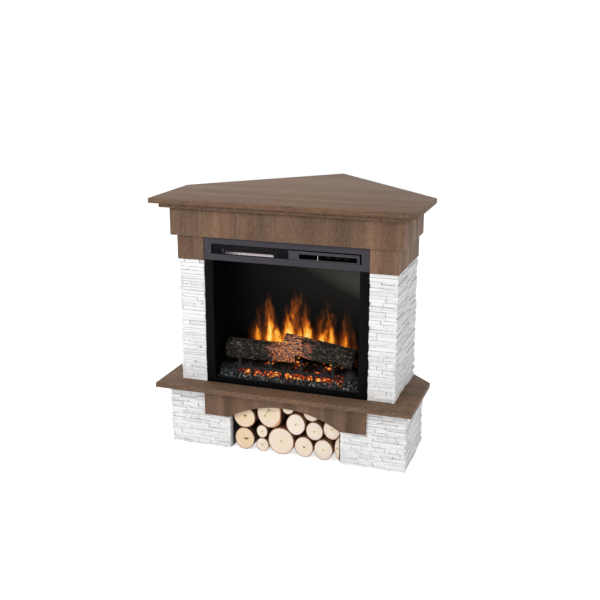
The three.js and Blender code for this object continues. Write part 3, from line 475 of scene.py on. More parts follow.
# %% One stone and one panel of stones
STONE_DEEP = 20 * MM
BED_DEEP = 8 * MM
BED_INSIDE = 4 * MM
JOINT = 1.4 * MM
COURSE = (8 * MM, 16 * MM)
FRONT_STONES = (18 * MM, 76 * MM)
SIDE_STONES = (36 * MM, 120 * MM)
CELL_LONG = 5.5 * MM
CELL_HIGH = 4 * MM
ROUGH = 1.3 * MM
CHIP = 0.7 * MM
QUOIN_DEEP = STONE_DEEP * 0.86
FRONT_PROUD = (0.48, 0.92)
SIDE_PROUD = (0.64, 0.92)
RIGHTWARD = Vector((1, 0, 0))
BACKWARD = Vector((0, 1, 0))
UPWARD = Vector((0, 0, 1))


def cut_up(start, end, sizes, dice):
    """Parts of changing size that fill a length, as pairs of places."""
    places = [0.0]
    while places[-1] < end - start:
        places.append(places[-1] + dice.uniform(*sizes))
    if len(places) > 2:
        places.pop()
    stretch = (end - start) / places[-1]
    return [(start + a * stretch, start + b * stretch) for a, b in zip(places, places[1:])]


def split_stone(bm, tones, spot, along, out, length, height, proud, dice):
    """A rough face, `proud` in front of the plane through spot, in the middle of the stone."""
    columns = max(4, round(length / CELL_LONG))
    rows = max(3, round(height / CELL_HIGH))
    frame_of_stone = Matrix((along * length, UPWARD * height, out)).transposed().to_4x4()
    frame_of_stone.translation = spot + out * proud
    made = bmesh.ops.create_grid(
        bm, x_segments=columns, y_segments=rows, size=0.5, matrix=frame_of_stone
    )
    seed = any_vector(dice, 0, 90)
    lean = dice.uniform(-1.5, 1.5) * ROUGH / length
    nod = dice.uniform(-1.6, 1.0) * ROUGH / height
    tone = dice.random()
    for vert in made["verts"]:
        from_spot = vert.co - spot
        across = from_spot.dot(along)
        push = noise.noise(vert.co * 42 + seed) * ROUGH
        push += noise.fractal(vert.co * 150 + seed, 0.8, 2.1, 3) * ROUGH * 0.6
        push += across * lean + from_spot.z * nod
        if vert.is_boundary:
            push -= CHIP * (0.4 + 0.9 * abs(noise.noise(vert.co * 160 + seed)))
            drift = noise.noise(vert.co * 90 + seed) * 0.35 * MM
            vert.co -= (along * math.copysign(1, across) + UPWARD) * abs(drift) * 0.5
        vert.co += out * min(push, STONE_DEEP - proud)
        vert[tones] = tone


def stone_panel(stones, out, plane, prouds, dice):
    """Closed stones on one side of a clad piece. Each stone is (spot, along, length, height);
    prouds is how far they stand out, least and most, as shares of the cladding's depth."""
    bm = bmesh.new()
    tones = bm.verts.layers.float.new("tone")
    for spot, along, length, height in stones:
        proud = STONE_DEEP * dice.uniform(*prouds)
        split_stone(bm, tones, spot, along, out, length, height, proud, dice)
    for face in bm.faces:
        face.smooth = True
    rims = [e for e in bm.edges if e.is_boundary]
    for edge in rims:
        edge.smooth = False
    walls = bmesh.ops.extrude_edge_only(bm, edges=rims)
    for item in walls["geom"]:
        if isinstance(item, bmesh.types.BMVert):
            item.co -= out * (out.dot(item.co) - plane)
        if isinstance(item, bmesh.types.BMFace):
            item.smooth = False
    open_rims = [e for e in bm.edges if e.is_boundary]
    bmesh.ops.holes_fill(bm, edges=open_rims, sides=0)
    bmesh.ops.recalc_face_normals(bm, faces=bm.faces)
    return bm


# %% Cladding round a corner
def pour(target, source):
    """Adds one bmesh to another, through a mesh."""
    mesh = as_mesh(source, "poured")
    target.from_mesh(mesh)
    bpy.data.meshes.remove(mesh)


def stone_bed(bm, plan, low, high):
    """The board behind the stones, from its plan; its dark grey finish is painted shade in the
    joints.
    """
    corners = [bm.verts.new((x, y, low)) for x, y in plan]
    floor = bm.faces.new(corners)
    lid = bmesh.ops.extrude_face_region(bm, geom=[floor])
    bmesh.ops.translate(bm, verts=new_verts(lid), vec=UPWARD * (high - low))


def lay_courses(inner, half, face, end, bounds, ledge, dice):
    """The stones of the front and of the side, each as (spot, along, length, height)."""
    courses = []
    for bottom, top in zip(bounds, bounds[1:]):
        courses += cut_up(bottom, top, COURSE, dice)
    on_front = []
    on_side = []
    for turn, (bottom, top) in enumerate(courses):
        start = inner if ledge is None or top < ledge[0] + MM else ledge[1]
        front_end = half + (QUOIN_DEEP if turn % 2 else BED_DEEP)
        side_start = face - (BED_DEEP if turn % 2 else QUOIN_DEEP)
        height = top - bottom - JOINT
        middle = (bottom + top) / 2
        for a, b in cut_up(start, front_end, FRONT_STONES, dice):
            spot = Vector(((a + b) / 2, face, middle))
            on_front.append((spot, RIGHTWARD, b - a - JOINT, height))
        for a, b in cut_up(side_start, end, SIDE_STONES, dice):
            spot = Vector((half, (a + b) / 2, middle))
            on_side.append((spot, BACKWARD, b - a - JOINT, height))
    return on_front, on_side


def cladding(name, node, inner, half, face, low, high, seed, ledge=None, side=1):
    """Right-hand cladding. ledge is (height, inner) where the upper courses start further out."""
    dice = random.Random(seed)
    end = CAD_BOX[1].y - half - STONE_DEEP
    bounds = [low, high] if ledge is None else [low, ledge[0], high]
    on_front, on_side = lay_courses(inner, half, face, end, bounds, ledge, dice)
    whole = bmesh.new()
    whole.verts.layers.float.new("tone")
    sunk = BED_DEEP - MM
    pour(whole, stone_panel(on_front, -BACKWARD, sunk - face, FRONT_PROUD, dice))
    pour(whole, stone_panel(on_side, RIGHTWARD, half + sunk, SIDE_PROUD, dice))
    stones = len(whole.faces)
    bed_inner = inner + BED_INSIDE
    plan = [
        (bed_inner, face - BED_DEEP),
        (half + BED_DEEP, face - BED_DEEP),
        (half + BED_DEEP, end),
        (half, CAD_BOX[1].y - half),
        (half, face),
        (bed_inner, face),
    ]
    stone_bed(whole, plan, low, high)
    whole.faces.ensure_lookup_table()
    for index in range(stones, len(whole.faces)):
        whole.faces[index].material_index = 1
    if side < 0:
        left_handed(whole)
    piece(whole, name, [STONE, STONE_BED_PAINTED_SHADE], [node])


# %% Columns and plinths
carcass_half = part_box("carcass_side_right")[1].x
carcass_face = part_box("carcass_front")[0].y
column_low, column_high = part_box("column_right")
plinth_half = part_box("plinth_side_right")[1].x
plinth_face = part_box("plinth_side_right")[0].y
plinth_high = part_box("plinth_right")[1].z
niche_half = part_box("niche_wall_right")[0].x
apron_low, apron_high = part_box("apron_board")

COLUMN = (column_low.x, carcass_half, carcass_face, column_low.z, column_high.z)
PLINTH = (niche_half, plinth_half, plinth_face, 0.0, plinth_high)
BESIDE_APRON = (apron_low.z, apron_high.x)

for side, word, column_seed, plinth_seed in ((1, "right", 5, 8), (-1, "left", 13, 21)):
    cladding("ledger_column_" + word, "column_" + word, *COLUMN, column_seed, None, side)
    cladding("ledger_plinth_" + word, "plinth_" + word, *PLINTH, plinth_seed, BESIDE_APRON, side)

# %% [markdown]
# ## The plinth's return into the niche
# Where the stone meets the niche it turns in and runs back a hand's breadth before the
# dark lining begins. A small stack of the same stones makes that return.

# %% Returns at the niche's mouth
RETURN_THICK = 12.5 * MM
RETURN_PROUD = 3 * MM


def niche_return(side, word, seed):
    dice = random.Random(seed)
    courses = cut_up(0.0, apron_low.z, COURSE, dice)
    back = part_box("niche_wall_right")[0].y
    start = plinth_face - BED_DEEP - RETURN_PROUD
    stack = bmesh.new()
    tones = stack.verts.layers.float.new("tone")
    for bottom, top in courses:
        low = (niche_half + dice.uniform(0, 1.2) * MM, start, bottom)
        high = (niche_half + RETURN_THICK, back, top - JOINT / 2)
        tone = dice.random()
        for vert in box_into(stack, low, high):
            vert[tones] = tone
    bevelled(stack, 0.5 * MM, 1)
    if side < 0:
        left_handed(stack)
    piece(stack, "niche_return_" + word, [STONE], smooth=40)


niche_return(1, "right", 34)
niche_return(-1, "left", 55)


# %% [markdown]
# ## Boards inside
# The carcass, the niche lining and the post at the back are plain black or brown faced
# board. Nobody sees them from the front, but the back of a fireplace is open, so they get
# the fine pressed fibres of faced board.


# %% Plain boards
def plain_board(name, dark, light):
    finish = Finish(name, Roughness=0.7)
    metres = finish.place()
    chips = finish.noise(metres, 260, 5.0, 0.75)
    clouds = finish.noise(metres, 9, 3.0, 0.5)
    finish.set(Base_Color=finish.ramp(chips * 0.6 + clouds * 0.4, (0.35, dark), (0.65, light)))
    finish.set(Roughness=chips * 0.3 + 0.55)
    finish.bump(chips, 0.2, 0.0003)
    return finish.material


PLAIN = plain_board("plain_board", linear(64, 56, 51), linear(84, 75, 68))
LINING = plain_board("niche_lining", linear(24, 22, 21), linear(38, 35, 34))


def dress(names, material):
    """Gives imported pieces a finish."""
    for name in names:
        slots = NODES[name].material_slots
        if not slots:
            NODES[name].data.materials.append(material)
        slots[0].material = material


dress([n for n in NODES if n.startswith(("carcass", "plinth_side", "rear_post"))], PLAIN)
dress([n for n in NODES if n.startswith("niche_")], LINING)
print("inner boards dressed")


# %% [markdown]
# ## Coated steel
# The fire's valance is steel with a charcoal powder coat: satin, with the faint orange
# peel that powder leaves. The flange and casing are the same coat in black. A trace of
# dust changes colour and roughness a little, and the peel is a very fine bump.


# %% Steel finishes
def powder_coat(name, dark, light, rough, shine):
    finish = Finish(name, Specular_IOR_Level=shine)
    metres = finish.place()
    peel = finish.noise(metres, 900, 2.0, 0.5)
    dust = finish.noise(metres, 30, 4.0, 0.6)
    finish.set(Base_Color=finish.ramp(dust, (0.3, dark), (0.7, light)))
    finish.set(Roughness=dust * 0.16 + (rough - 0.08))
    finish.bump(peel, 0.12, 0.0002)
    return finish.material


def bare_metal(name, dark, light, rough):
    finish = Finish(name, Metallic=0.95)
    brushed = finish.noise(finish.place((0.05, 1, 1)), 1400, 3.0, 0.6)
    stains = finish.noise(finish.place(), 60, 3.0, 0.6)
    finish.set(Base_Color=finish.ramp(stains * 0.6 + brushed * 0.4, (0.3, dark), (0.7, light)))
    finish.set(Roughness=brushed * 0.25 + rough)
    return finish.material


CHARCOAL = powder_coat("charcoal_coat", linear(42, 39, 46), linear(50, 47, 54), 0.5, 0.35)
BEZEL = powder_coat("bezel_coat", linear(46, 44, 50), linear(54, 51, 58), 0.5, 0.35)
# Black coat of the flange and casing; on the valance it also stands for painted shade on the faces
# behind its front.
BLACK_COAT_AND_RECESS_SHADE = powder_coat("black_coat_and_recess_shade", linear(2, 2, 3), linear(6, 6, 7), 0.6, 0.06)
BRIGHT = bare_metal("bright_metal", linear(168, 166, 164), linear(214, 212, 208), 0.2)
WHITE = powder_coat("white_plastic", linear(222, 222, 222), linear(236, 236, 236), 0.4, 0.4)
MESH_COAT = powder_coat("mesh_coat", linear(36, 32, 38), linear(48, 44, 50), 0.5, 0.2)
SOOTY = bare_metal("sooty_metal", linear(22, 21, 23), linear(42, 40, 43), 0.6)
MOULDED = powder_coat("black_plastic", linear(3, 3, 4), linear(7, 7, 8), 0.5, 0.06)
# Near-black for the sides of the bezel's slot: painted shade in the slot.
SLOT_PAINTED_SHADE = powder_coat("slot_painted_shade", linear(1, 1, 1), linear(3, 3, 4), 0.8, 0.02)
GREEN_BOARD = powder_coat("lamp_board", linear(34, 66, 48), linear(44, 82, 60), 0.4, 0.4)

STEEL_EDGE = 0.7 * MM
BEZEL_EDGE = 0.4 * MM
FRONT_SKIN = 1.2 * MM


def shade_behind_front(bm, node):
    """Faces that lie behind a trim's front, such as a slot's sides, get the second finish: painted
    shade.
    """
    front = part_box(node)[0].y
    for face in bm.faces:
        behind = face.calc_center_median().y - front
        face.material_index = 1 if behind > FRONT_SKIN else 0


# On the valance and the bezel, faces behind the front get the second finish: painted shade in the
# window and the slot.
for node, name, edge, materials, slot in (
    ("valance_panel", "valance_coated", STEEL_EDGE, [CHARCOAL, BLACK_COAT_AND_RECESS_SHADE], "charcoal_steel"),
    ("trim_flange", "flange_coated", STEEL_EDGE, [BLACK_COAT_AND_RECESS_SHADE], "black_steel"),
    ("control_bezel", "bezel_coated", BEZEL_EDGE, [BEZEL, SLOT_PAINTED_SHADE], "charcoal_steel"),
):
    trim = bevelled(copy_of(node), edge)
    if len(materials) > 1:
        shade_behind_front(trim, node)
    piece(trim, name, materials, [node], smooth=40)

dress([n for n in NODES if n.startswith(("casing", "heater_deck", "blower_housing"))], BLACK_COAT_AND_RECESS_SHADE)
dress(["flicker_rod"], BRIGHT)
dress(["blower_wheel", "blower_motor"], SOOTY)
dress(["flicker_motor"], MOULDED)
dress(["light_strip"], GREEN_BOARD)

# %% [markdown]
# ## Outlet mesh and heating strip
# Warm air leaves through a black woven mesh. It could be a flat plate with an alpha
# pattern, but a weave is easy to build for real: each wire is a small round swept along a
# wave, up over one wire and down under the next. Behind it stands the finned heating
# strip, which shows as a bright bar: a painted highlight, given as emission by its finish.

# %% Woven mesh
WIRE = 0.55 * MM
MESH_PITCH = 5.2 * MM
MESH_RIM = 0.9 * MM


def swept_wire(bm, start, step, count, lift, radius=WIRE, sides=6):
    """A wire of `count` steps from start. lift gives how far it stands off at each step."""
    way = step.normalized()
    turn = Vector((0, 0, 1)).rotation_difference(way).to_matrix().to_4x4()
    first = Matrix.Translation(start + lift(0)) @ turn
    ring = bmesh.ops.create_circle(
        bm, cap_ends=True, segments=sides, radius=radius, matrix=first
    )
    face = next(iter(ring["verts"][0].link_faces))
    for index in range(1, count + 1):
        pushed = bmesh.ops.extrude_face_region(bm, geom=[face])
        move = step + lift(index) - lift(index - 1)
        bmesh.ops.translate(bm, verts=new_verts(pushed), vec=move)
        old = face
        face = next(g for g in pushed["geom"] if isinstance(g, bmesh.types.BMFace))
        if index > 1:
            bmesh.ops.delete(bm, geom=[old], context="FACES_ONLY")


def weave(sign):
    """A wire's wave: over one crossing wire and under the next."""
    return lambda step: Vector((0, sign * WIRE * math.sin(step * math.pi / 2), 0))


def woven_mesh():
    low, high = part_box("outlet_grille")
    bm = bmesh.new()
    rim = MESH_RIM
    for bottom, top in (
        ((low.x, low.z), (high.x, low.z + rim)),
        ((low.x, high.z - rim), (high.x, high.z)),
        ((low.x, low.z + rim), (low.x + rim, high.z - rim)),
        ((high.x - rim, low.z + rim), (high.x, high.z - rim)),
    ):
        box_into(bm, (bottom[0], low.y, bottom[1]), (top[0], high.y, top[1]))
    middle = (low.y + high.y) / 2
    columns = int((high.x - low.x - 2 * rim) / MESH_PITCH)
    rows = int((high.z - low.z - 2 * rim) / MESH_PITCH)
    left = (low.x + high.x - columns * MESH_PITCH) / 2
    base = (low.z + high.z - rows * MESH_PITCH) / 2
    for column in range(columns + 1):
        foot = Vector((left + column * MESH_PITCH, middle, base - MESH_PITCH / 2))
        wave = weave(1 if column % 2 else -1)
        swept_wire(bm, foot, Vector((0, 0, MESH_PITCH / 2)), rows * 2 + 2, wave)
    for row in range(rows + 1):
        foot = Vector((left - MESH_PITCH / 2, middle, base + row * MESH_PITCH))
        wave = weave(-1 if row % 2 else 1)
        swept_wire(bm, foot, Vector((MESH_PITCH / 2, 0, 0)), columns * 2 + 2, wave)
    bmesh.ops.recalc_face_normals(bm, faces=bm.faces)
    piece(bm, "woven_outlet_mesh", [MESH_COAT], ["outlet_grille"], smooth=50)


woven_mesh()


# %% Heating strip
FINS = 46
FIN_SHARE = 0.4
FIN_STAGGER = 0.8 * MM
ROD_LEVELS = (0.2, 0.75)
ROD_RADIUS = 2.6 * MM
CURL_RADIUS = 2.4 * MM


def painted_highlight_strip_finish():
    finish = Finish("heating_strip", Metallic=0.6, Roughness=0.5, Emission_Strength=1.0)
    x, y, z = finish.axes(finish.place())
    spots = finish.noise(finish.place(), 240, 3.0, 0.6)
    steel = finish.ramp(spots, (0.3, linear(40, 37, 39)), (0.7, linear(78, 74, 77)))
    # Painted highlight: the fins above 0.78 m emit a pale light, fading out towards the left end,
    # though the strip is no lamp; glow carries that painted highlight.
    painted_highlight_mask = z.within(0.7800, 0.7825) * (spots * 0.8 + 0.6) * (x + 0.30).within(0.0, 0.14)
    glow = finish.ramp(
        painted_highlight_mask, (0.0, (0, 0, 0, 1)), (0.5, linear(120, 110, 116)), (1.0, linear(226, 214, 220))
    )
    finish.set(Base_Color=steel, Emission_Color=glow)
    return finish.material


def heating_strip():
    low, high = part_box("heating_element")
    bm = bmesh.new()
    pitch = (high.x - low.x) / FINS
    for index in range(FINS):
        x = low.x + index * pitch
        shift = (index % 2) * FIN_STAGGER
        box_into(bm, (x, low.y + shift, low.z), (x + pitch * FIN_SHARE, high.y, high.z))
    half_way = Vector(((high.x - low.x) / 2, 0, 0))
    for level in ROD_LEVELS:
        end = Vector((low.x, (low.y + high.y) / 2, low.z + (high.z - low.z) * level))
        swept_wire(bm, end, half_way, 2, lambda step: Vector(), ROD_RADIUS, 12)
    bmesh.ops.recalc_face_normals(bm, faces=bm.faces)
    finish = [painted_highlight_strip_finish()]
    piece(bm, "finned_heating_strip", finish, ["heating_element"], smooth=40)


def strip_bracket():
    """The curled white wire that holds the strip's left end."""
    low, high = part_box("heating_element")
    bm = bmesh.new()
    foot = Vector((low.x - 7 * MM, low.y - 4 * MM, high.z - 3 * MM))
    rise = Vector((0, 0, 1.4 * MM))
    swept_wire(
        bm,
        foot,
        rise,
        12,
        lambda step: Vector((CURL_RADIUS * math.sin(step * 1.1), 0, 0)),
        radius=0.9 * MM,
    )
    bmesh.ops.recalc_face_normals(bm, faces=bm.faces)
    piece(bm, "strip_bracket", [WHITE], smooth=60)


heating_strip()
strip_bracket()

# %% [markdown]
# ## Buttons and the white pointer
# Three push buttons stand in the slot of the bezel, whose sides are near-black as painted
# shade, and a thin white line marks the place of the display. The line is a sliver of white
# plastic pressed into the slot.

# %% Controls
for node, body in (
    ("button_power", "power_button"),
    ("button_flame", "flame_button"),
    ("button_heat", "heat_button"),
):
    button = bevelled(copy_of(node), 0.5 * MM, 3)
    piece(button, node + "_moulded", [MOULDED], [node], body=body, smooth=40)

POINTER_FROM_LEFT = 113.5 * MM
POINTER_HALF = 0.9 * MM
POINTER_LOW = 3 * MM
POINTER_HIGH = 22 * MM


def pointer():
    low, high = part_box("control_bezel")
    bm = bmesh.new()
    pointer_x = low.x + POINTER_FROM_LEFT
    box_into(
        bm,
        (pointer_x - POINTER_HALF, low.y - 0.4 * MM, low.z + POINTER_LOW),
        (pointer_x + POINTER_HALF, low.y + 1.2 * MM, low.z + POINTER_HIGH),
    )
    bevelled(bm, 0.2 * MM, 2)
    piece(bm, "white_pointer", [WHITE], smooth=40)


pointer()

# %% [markdown]
# ## The flame screen
# An electric fire throws light from turning vanes onto a dark screen, where it licks up
# as flames. The screen here is one dark sheet whose Emission Color is worked out from its
# own metres: a few tongues, each a curve that narrows to its tip, bent by noise. Its Base
# Color goes from near-black at the lower left to grey at the upper right: a painted reflection.

# %% Flames on the screen
# Each tongue: middle at its foot, height of its tip, half its width, lean, brightness.
FAR_TONGUES = [
    (-0.178, 0.575, 0.040, 0.10, 0.42),
    (-0.116, 0.640, 0.044, -0.07, 0.64),
    (-0.062, 0.596, 0.036, 0.09, 0.54),
    (-0.022, 0.672, 0.042, 0.05, 0.70),
    (0.036, 0.640, 0.045, -0.06, 0.64),
    (0.088, 0.590, 0.038, 0.08, 0.54),
    (0.132, 0.626, 0.040, -0.06, 0.54),
    (0.186, 0.578, 0.040, 0.09, 0.52),
    (0.226, 0.520, 0.030, -0.03, 0.42),
]
NEAR_TONGUES = [
    (-0.168, 0.486, 0.024, -0.08, 0.66),
    (-0.122, 0.540, 0.030, 0.09, 0.78),
    (-0.084, 0.490, 0.026, -0.10, 0.80),
    (-0.046, 0.546, 0.031, 0.08, 0.88),
    (0.004, 0.496, 0.030, 0.10, 0.78),
    (0.044, 0.530, 0.030, -0.09, 0.82),
    (0.098, 0.492, 0.030, 0.08, 0.70),
    (0.140, 0.518, 0.026, -0.05, 0.64),
    (0.190, 0.474, 0.026, 0.09, 0.50),
]
FLAME_FOOT = 0.40


def tongues(bent, height, rows, soft):
    """The brightest of a row of tongues, soft across and fading to the tips."""
    whole = None
    for middle, tip, wide, lean, bright in rows:
        rise = height / (tip - FLAME_FOOT)
        room = (1.0 - rise).most(0.0001)
        off = (bent - middle - height * lean).size() / (room**0.8 * wide)
        one = off.within(1.1 + soft, -soft) * room.within(0.0, 0.55) * bright
        whole = one if whole is None else whole.most(one)
    return whole


def flame_finish():
    finish = Finish("flame_screen_glass", Roughness=0.55, Specular_IOR_Level=0.06)
    finish.set(Emission_Strength=1.0)
    x, y, z = finish.axes(finish.place())
    height = (z - FLAME_FOOT).most(0.0)
    slow = finish.noise(finish.vector(x, 0.0, z * 0.5), 22, 2.0, 0.5) - 0.5
    quick = finish.noise(finish.vector(x * 1.2, 0.5, z * 0.5), 70, 2.0, 0.5) - 0.5
    far_bent = x + slow * (height * 0.5 + 0.02) + quick * 0.012
    near_bent = x - slow * (height * 0.6 + 0.02) + quick * 0.02
    threads = finish.noise(finish.vector(near_bent * 3.4, 0.0, z * 0.55), 42, 4.0, 0.6)
    veils = finish.noise(finish.vector(far_bent * 2.6, 0.8, z * 0.5), 34, 4.0, 0.6)
    near = tongues(near_bent, height, NEAR_TONGUES, 0.1) * (threads * 1.7 - 0.06)
    far = tongues(far_bent, height, FAR_TONGUES, 0.4) * (veils * 1.6 + 0.1)
    foot = height.within(0.085, 0.0) * x.size().within(0.24, 0.08) * 0.3
    chinks = finish.noise(finish.vector(x, 0.3, z * 1.6), 58, 2.0, 0.5).within(0.58, 0.66)
    body = (near + far * 0.72 + foot * veils) * z.within(0.392, 0.412).most(chinks * 0.8)
    colour = finish.ramp(
        body,
        (0.02, (0, 0, 0, 1)),
        (0.16, linear(50, 22, 6)),
        (0.34, linear(122, 58, 14)),
        (0.54, linear(206, 104, 22)),
        (0.78, linear(250, 164, 46)),
        (1.0, linear(255, 226, 120)),
    )
    # Painted reflection: the base colour lightens from near-black at the lower left to grey at the
    # upper right.
    reflection_mask = (z + x * 0.45).within(0.52, 0.94)
    glass_and_painted_reflection = finish.ramp(
        reflection_mask, (0.0, linear(1, 1, 1)), (0.45, linear(30, 28, 25)), (1.0, linear(124, 121, 116))
    )
    finish.set(Base_Color=glass_and_painted_reflection, Emission_Color=colour)
    return finish.material


dress(["flame_screen"], flame_finish())

# %% [markdown]
# ## Bark that seems to glow
# The logs are cast resin, painted as charred bark and lit from inside. Real bark is a
# relief, so the mesh carries it: a turned log whose skin is pushed out along ridges that
# follow the log, with deep cracks between. The paint then reads two attributes that the
# mesh keeps: how deep a point lies and how strongly it should glow.


# %% Charred bark finish
def bark_finish():
    finish = Finish("charred_bark", Roughness=0.85, Specular_IOR_Level=0.25)
    finish.set(Emission_Strength=1.0)
    depth = finish.attribute("depth")
    heat = finish.attribute("ember")
    fibres = finish.noise(finish.place((0.14, 1, 1)), 420, 4.0, 0.7)
    flakes = finish.noise(finish.place((0.35, 1, 1)), 150, 4.0, 0.7)
    patches = finish.noise(finish.place(), 24, 3.0, 0.5)
    height = depth * 0.36 + fibres * 0.56 + flakes * 0.4 + patches * 0.16
    bark = finish.ramp(
        height,
        (0.55, linear(6, 5, 4)),
        (0.72, linear(32, 29, 24)),
        (0.86, linear(74, 67, 56)),
        (1.0, linear(146, 137, 118)),
    )
    tatters = finish.noise(finish.place((0.5, 1, 1)), 62, 4.0, 0.65) - 0.5
    hot = (heat + tatters * 2.0).within(0.3, 0.85)
    flecks = finish.noise(finish.place((0.3, 1, 1)), 240, 3.0, 0.65, 0.8)
    web = (flecks - 0.54).size().within(0.02, 0.008) * hot
    skin = finish.mix(web * 0.85, bark, linear(236, 192, 170))
    glow = hot * flecks.within(0.50, 0.40) * height.within(1.1, 0.8) * 1.15 + web * 0.25
    embers = finish.ramp(
        glow,
        (0.0, (0, 0, 0, 1)),
        (0.25, linear(46, 12, 6)),
        (0.55, linear(168, 56, 24)),
        (0.82, linear(232, 102, 48)),
        (1.0, linear(255, 170, 104)),
    )
    finish.set(Base_Color=skin, Emission_Color=embers)
    finish.bump(fibres + flakes, 0.7, 0.0015)
    return finish.material


BARK = bark_finish()

# %% Logs on the grate
LOG_CELL = 2.4 * MM
BARK_DEEP = 5 * MM
KNOBBLY = 0.035
WORN_LONG = 5 * MM
WORN_DEEP = 1.5 * MM
RAGGED = 4 * MM
# Each step of an end face: how much the ring shrinks, how far it sinks in mm, its shade.
SAWN_END = [(0.9, 0.0, 0.7), (0.8, 0.6, 0.5), (0.7, 0.6, 0.55), (0.5, 0.5, 0.4), (0.3, 0.4, 0.3)]
HOLLOW_END = [(0.93, 0.3, 0.8), (0.9, 1.5, 0.6), (0.9, 5, 0.3), (0.92, 7, 0.15), (0.6, 4, 0.05)]

# The shifts inside noise_vector come from the clock unless they are given a seed.
noise.seed_set(7)


def bark_relief(radial, along, seed):
    """How far the skin is sunk, 0 to 1: long plates with slanting cracks between them."""
    wind = Matrix.Rotation(along * 2.2, 3, "Z")
    on_skin = wind @ radial
    spot = Vector((on_skin.x * 5.2, on_skin.y * 5.2, along * 48)) + seed
    warp = noise.noise_vector(spot * 1.4) * 0.5
    far = noise.voronoi(spot + warp, distance_metric="DISTANCE", exponent=2)[0]
    crack = min(1.0, (far[1] - far[0]) * 3.2)
    fine = noise.fractal(Vector((on_skin.x * 11, on_skin.y * 11, along * 60)), 0.7, 2.2, 3)
    return share_of(1 - crack * 0.8 - 0.35 * fine)


def turned_log(name, node, start, end, start_radius, end_radius, seed, far_end, heat_at):
    """A log along its axis. far_end is how its end is shaped; heat_at, how a point glows."""
    axis = end - start
    length = axis.length
    rings = round(length / LOG_CELL)
    around = round(2 * math.pi * start_radius / LOG_CELL)
    bm = bmesh.new()
    depths = bm.verts.layers.float.new("depth")
    heats = bm.verts.layers.float.new("ember")
    made = bmesh.ops.create_grid(bm, x_segments=around, y_segments=rings, size=0.5)
    turn = Vector((0, 0, 1)).rotation_difference(axis).to_matrix()
    shift = Vector((seed, seed * 1.7, seed * 2.3))
    for vert in made["verts"]:
        angle = (vert.co.x + 0.5) * 2 * math.pi
        share = vert.co.y + 0.5
        radial = Vector((math.cos(angle), math.sin(angle), 0))
        radius = start_radius + (end_radius - start_radius) * share
        swirl = Vector((radial.x * 1.0, radial.y * 1.0, share * length * 6)) + shift
        knobs = noise.noise(swirl * 1.6) * KNOBBLY
        sunk = bark_relief(radial, share * length, shift)
        skin = radius * (0.985 + knobs) - sunk * BARK_DEEP
        edge = min(share, 1 - share) * length
        skin -= max(0.0, 1 - edge / WORN_LONG) * WORN_DEEP
        ragged = noise.noise(radial * 4 + shift) * RAGGED * (1 if share in (0, 1) else 0)
        spot = radial * skin + Vector((0, 0, share * length - abs(ragged) * (2 * share - 1)))
        vert.co = start + turn @ spot
        vert[depths] = 1 - sunk
        vert[heats] = heat_at(vert.co)
    bmesh.ops.remove_doubles(bm, verts=bm.verts, dist=0.2 * MM)
    inward = axis.normalized()
    close_end(bm, start, inward, depths, heats, SAWN_END)
    close_end(bm, end, -inward, depths, heats, far_end)
    bmesh.ops.recalc_face_normals(bm, faces=bm.faces)
    piece(bm, name, [BARK], [node], smooth=75)


def close_end(bm, middle, inward, depths, heats, steps):
    """Closes the open ring nearest to middle with rings that shrink and sink in turn."""
    open_edges = [e for e in bm.edges if e.is_boundary]
    ring = [e for e in open_edges if (e.verts[0].co - middle).length < 0.1]
    for shrink, sink, shade in steps:
        made = bmesh.ops.extrude_edge_only(bm, edges=ring)
        verts = new_verts(made)
        centre = sum((v.co for v in verts), Vector()) / len(verts)
        for vert in verts:
            rough = abs(noise.noise(vert.co * 120)) * 1.6 * MM
            vert.co = centre + (vert.co - centre) * shrink + inward * (sink * MM + rough)
            vert[depths] = shade + 0.25 * noise.noise(vert.co * 200)
            vert[heats] = 0.0
        new = set(verts)
        ring = [e for v in verts for e in v.link_edges if e.is_boundary and set(e.verts) <= new]
        ring = list(dict.fromkeys(ring))
    bmesh.ops.holes_fill(bm, edges=ring, sides=0)


def glow_of_left(spot):
    return share_of((spot.x + 0.14) / 0.09) * 0.95


def glow_of_right(spot):
    fade = share_of((0.15 - spot.x) / 0.13)
    below = share_of((0.48 - spot.z) / 0.06)
    return fade * (0.7 + 0.3 * below)


# Each log: where its axis starts and ends and its two radii, all in mm, then its seed.
LOGS = {
    "left": ((-274, -248, 385.3), (8, -228, 380.3), 43, 38, 3.1, SAWN_END, glow_of_left),
    "right": ((-24, -288, 442), (248, -250.5, 388.8), 40, 43, 7.7, HOLLOW_END, glow_of_right),
}
for word, (start, end, *radii, seed, far_end, glow) in LOGS.items():
    ends = (Vector(start) * MM, Vector(end) * MM, radii[0] * MM, radii[1] * MM)
    turned_log("charred_log_" + word, "log_" + word, *ends, seed, far_end, glow)


# %% [markdown]
# ## The grate
# The grate is cast iron: rounded by the mould, rough from the sand, and blue-grey rather
# than black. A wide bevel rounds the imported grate, and a fine bump makes it rough.


# %% Grate
def iron_finish():
    finish = Finish("cast_iron", Specular_IOR_Level=0.25)
    metres = finish.place()
    sand = finish.noise(metres, 700, 4.0, 0.7)
    soot = finish.noise(metres, 40, 3.0, 0.6)
    finish.set(Base_Color=finish.ramp(soot, (0.3, linear(10, 11, 13)), (0.7, linear(22, 24, 28))))
    finish.set(Roughness=soot * 0.2 + 0.5)
    finish.bump(sand, 0.5, 0.0006)
    return finish.material


IRON_EDGE = 1.4 * MM
grate = bevelled(copy_of("grate"), IRON_EDGE, 3)
piece(grate, "cast_grate", [iron_finish()], ["grate"], smooth=50)


# %% [markdown]
# ## The ember bed
# Under the logs lies a moulded bed of coals, lit from below, with loose gravel along its
# front. The bed is one sheet pushed up into lumps. The coals on it are a few rough
# icospheres and the gravel a few cones knocked out of true, copied and turned many times.


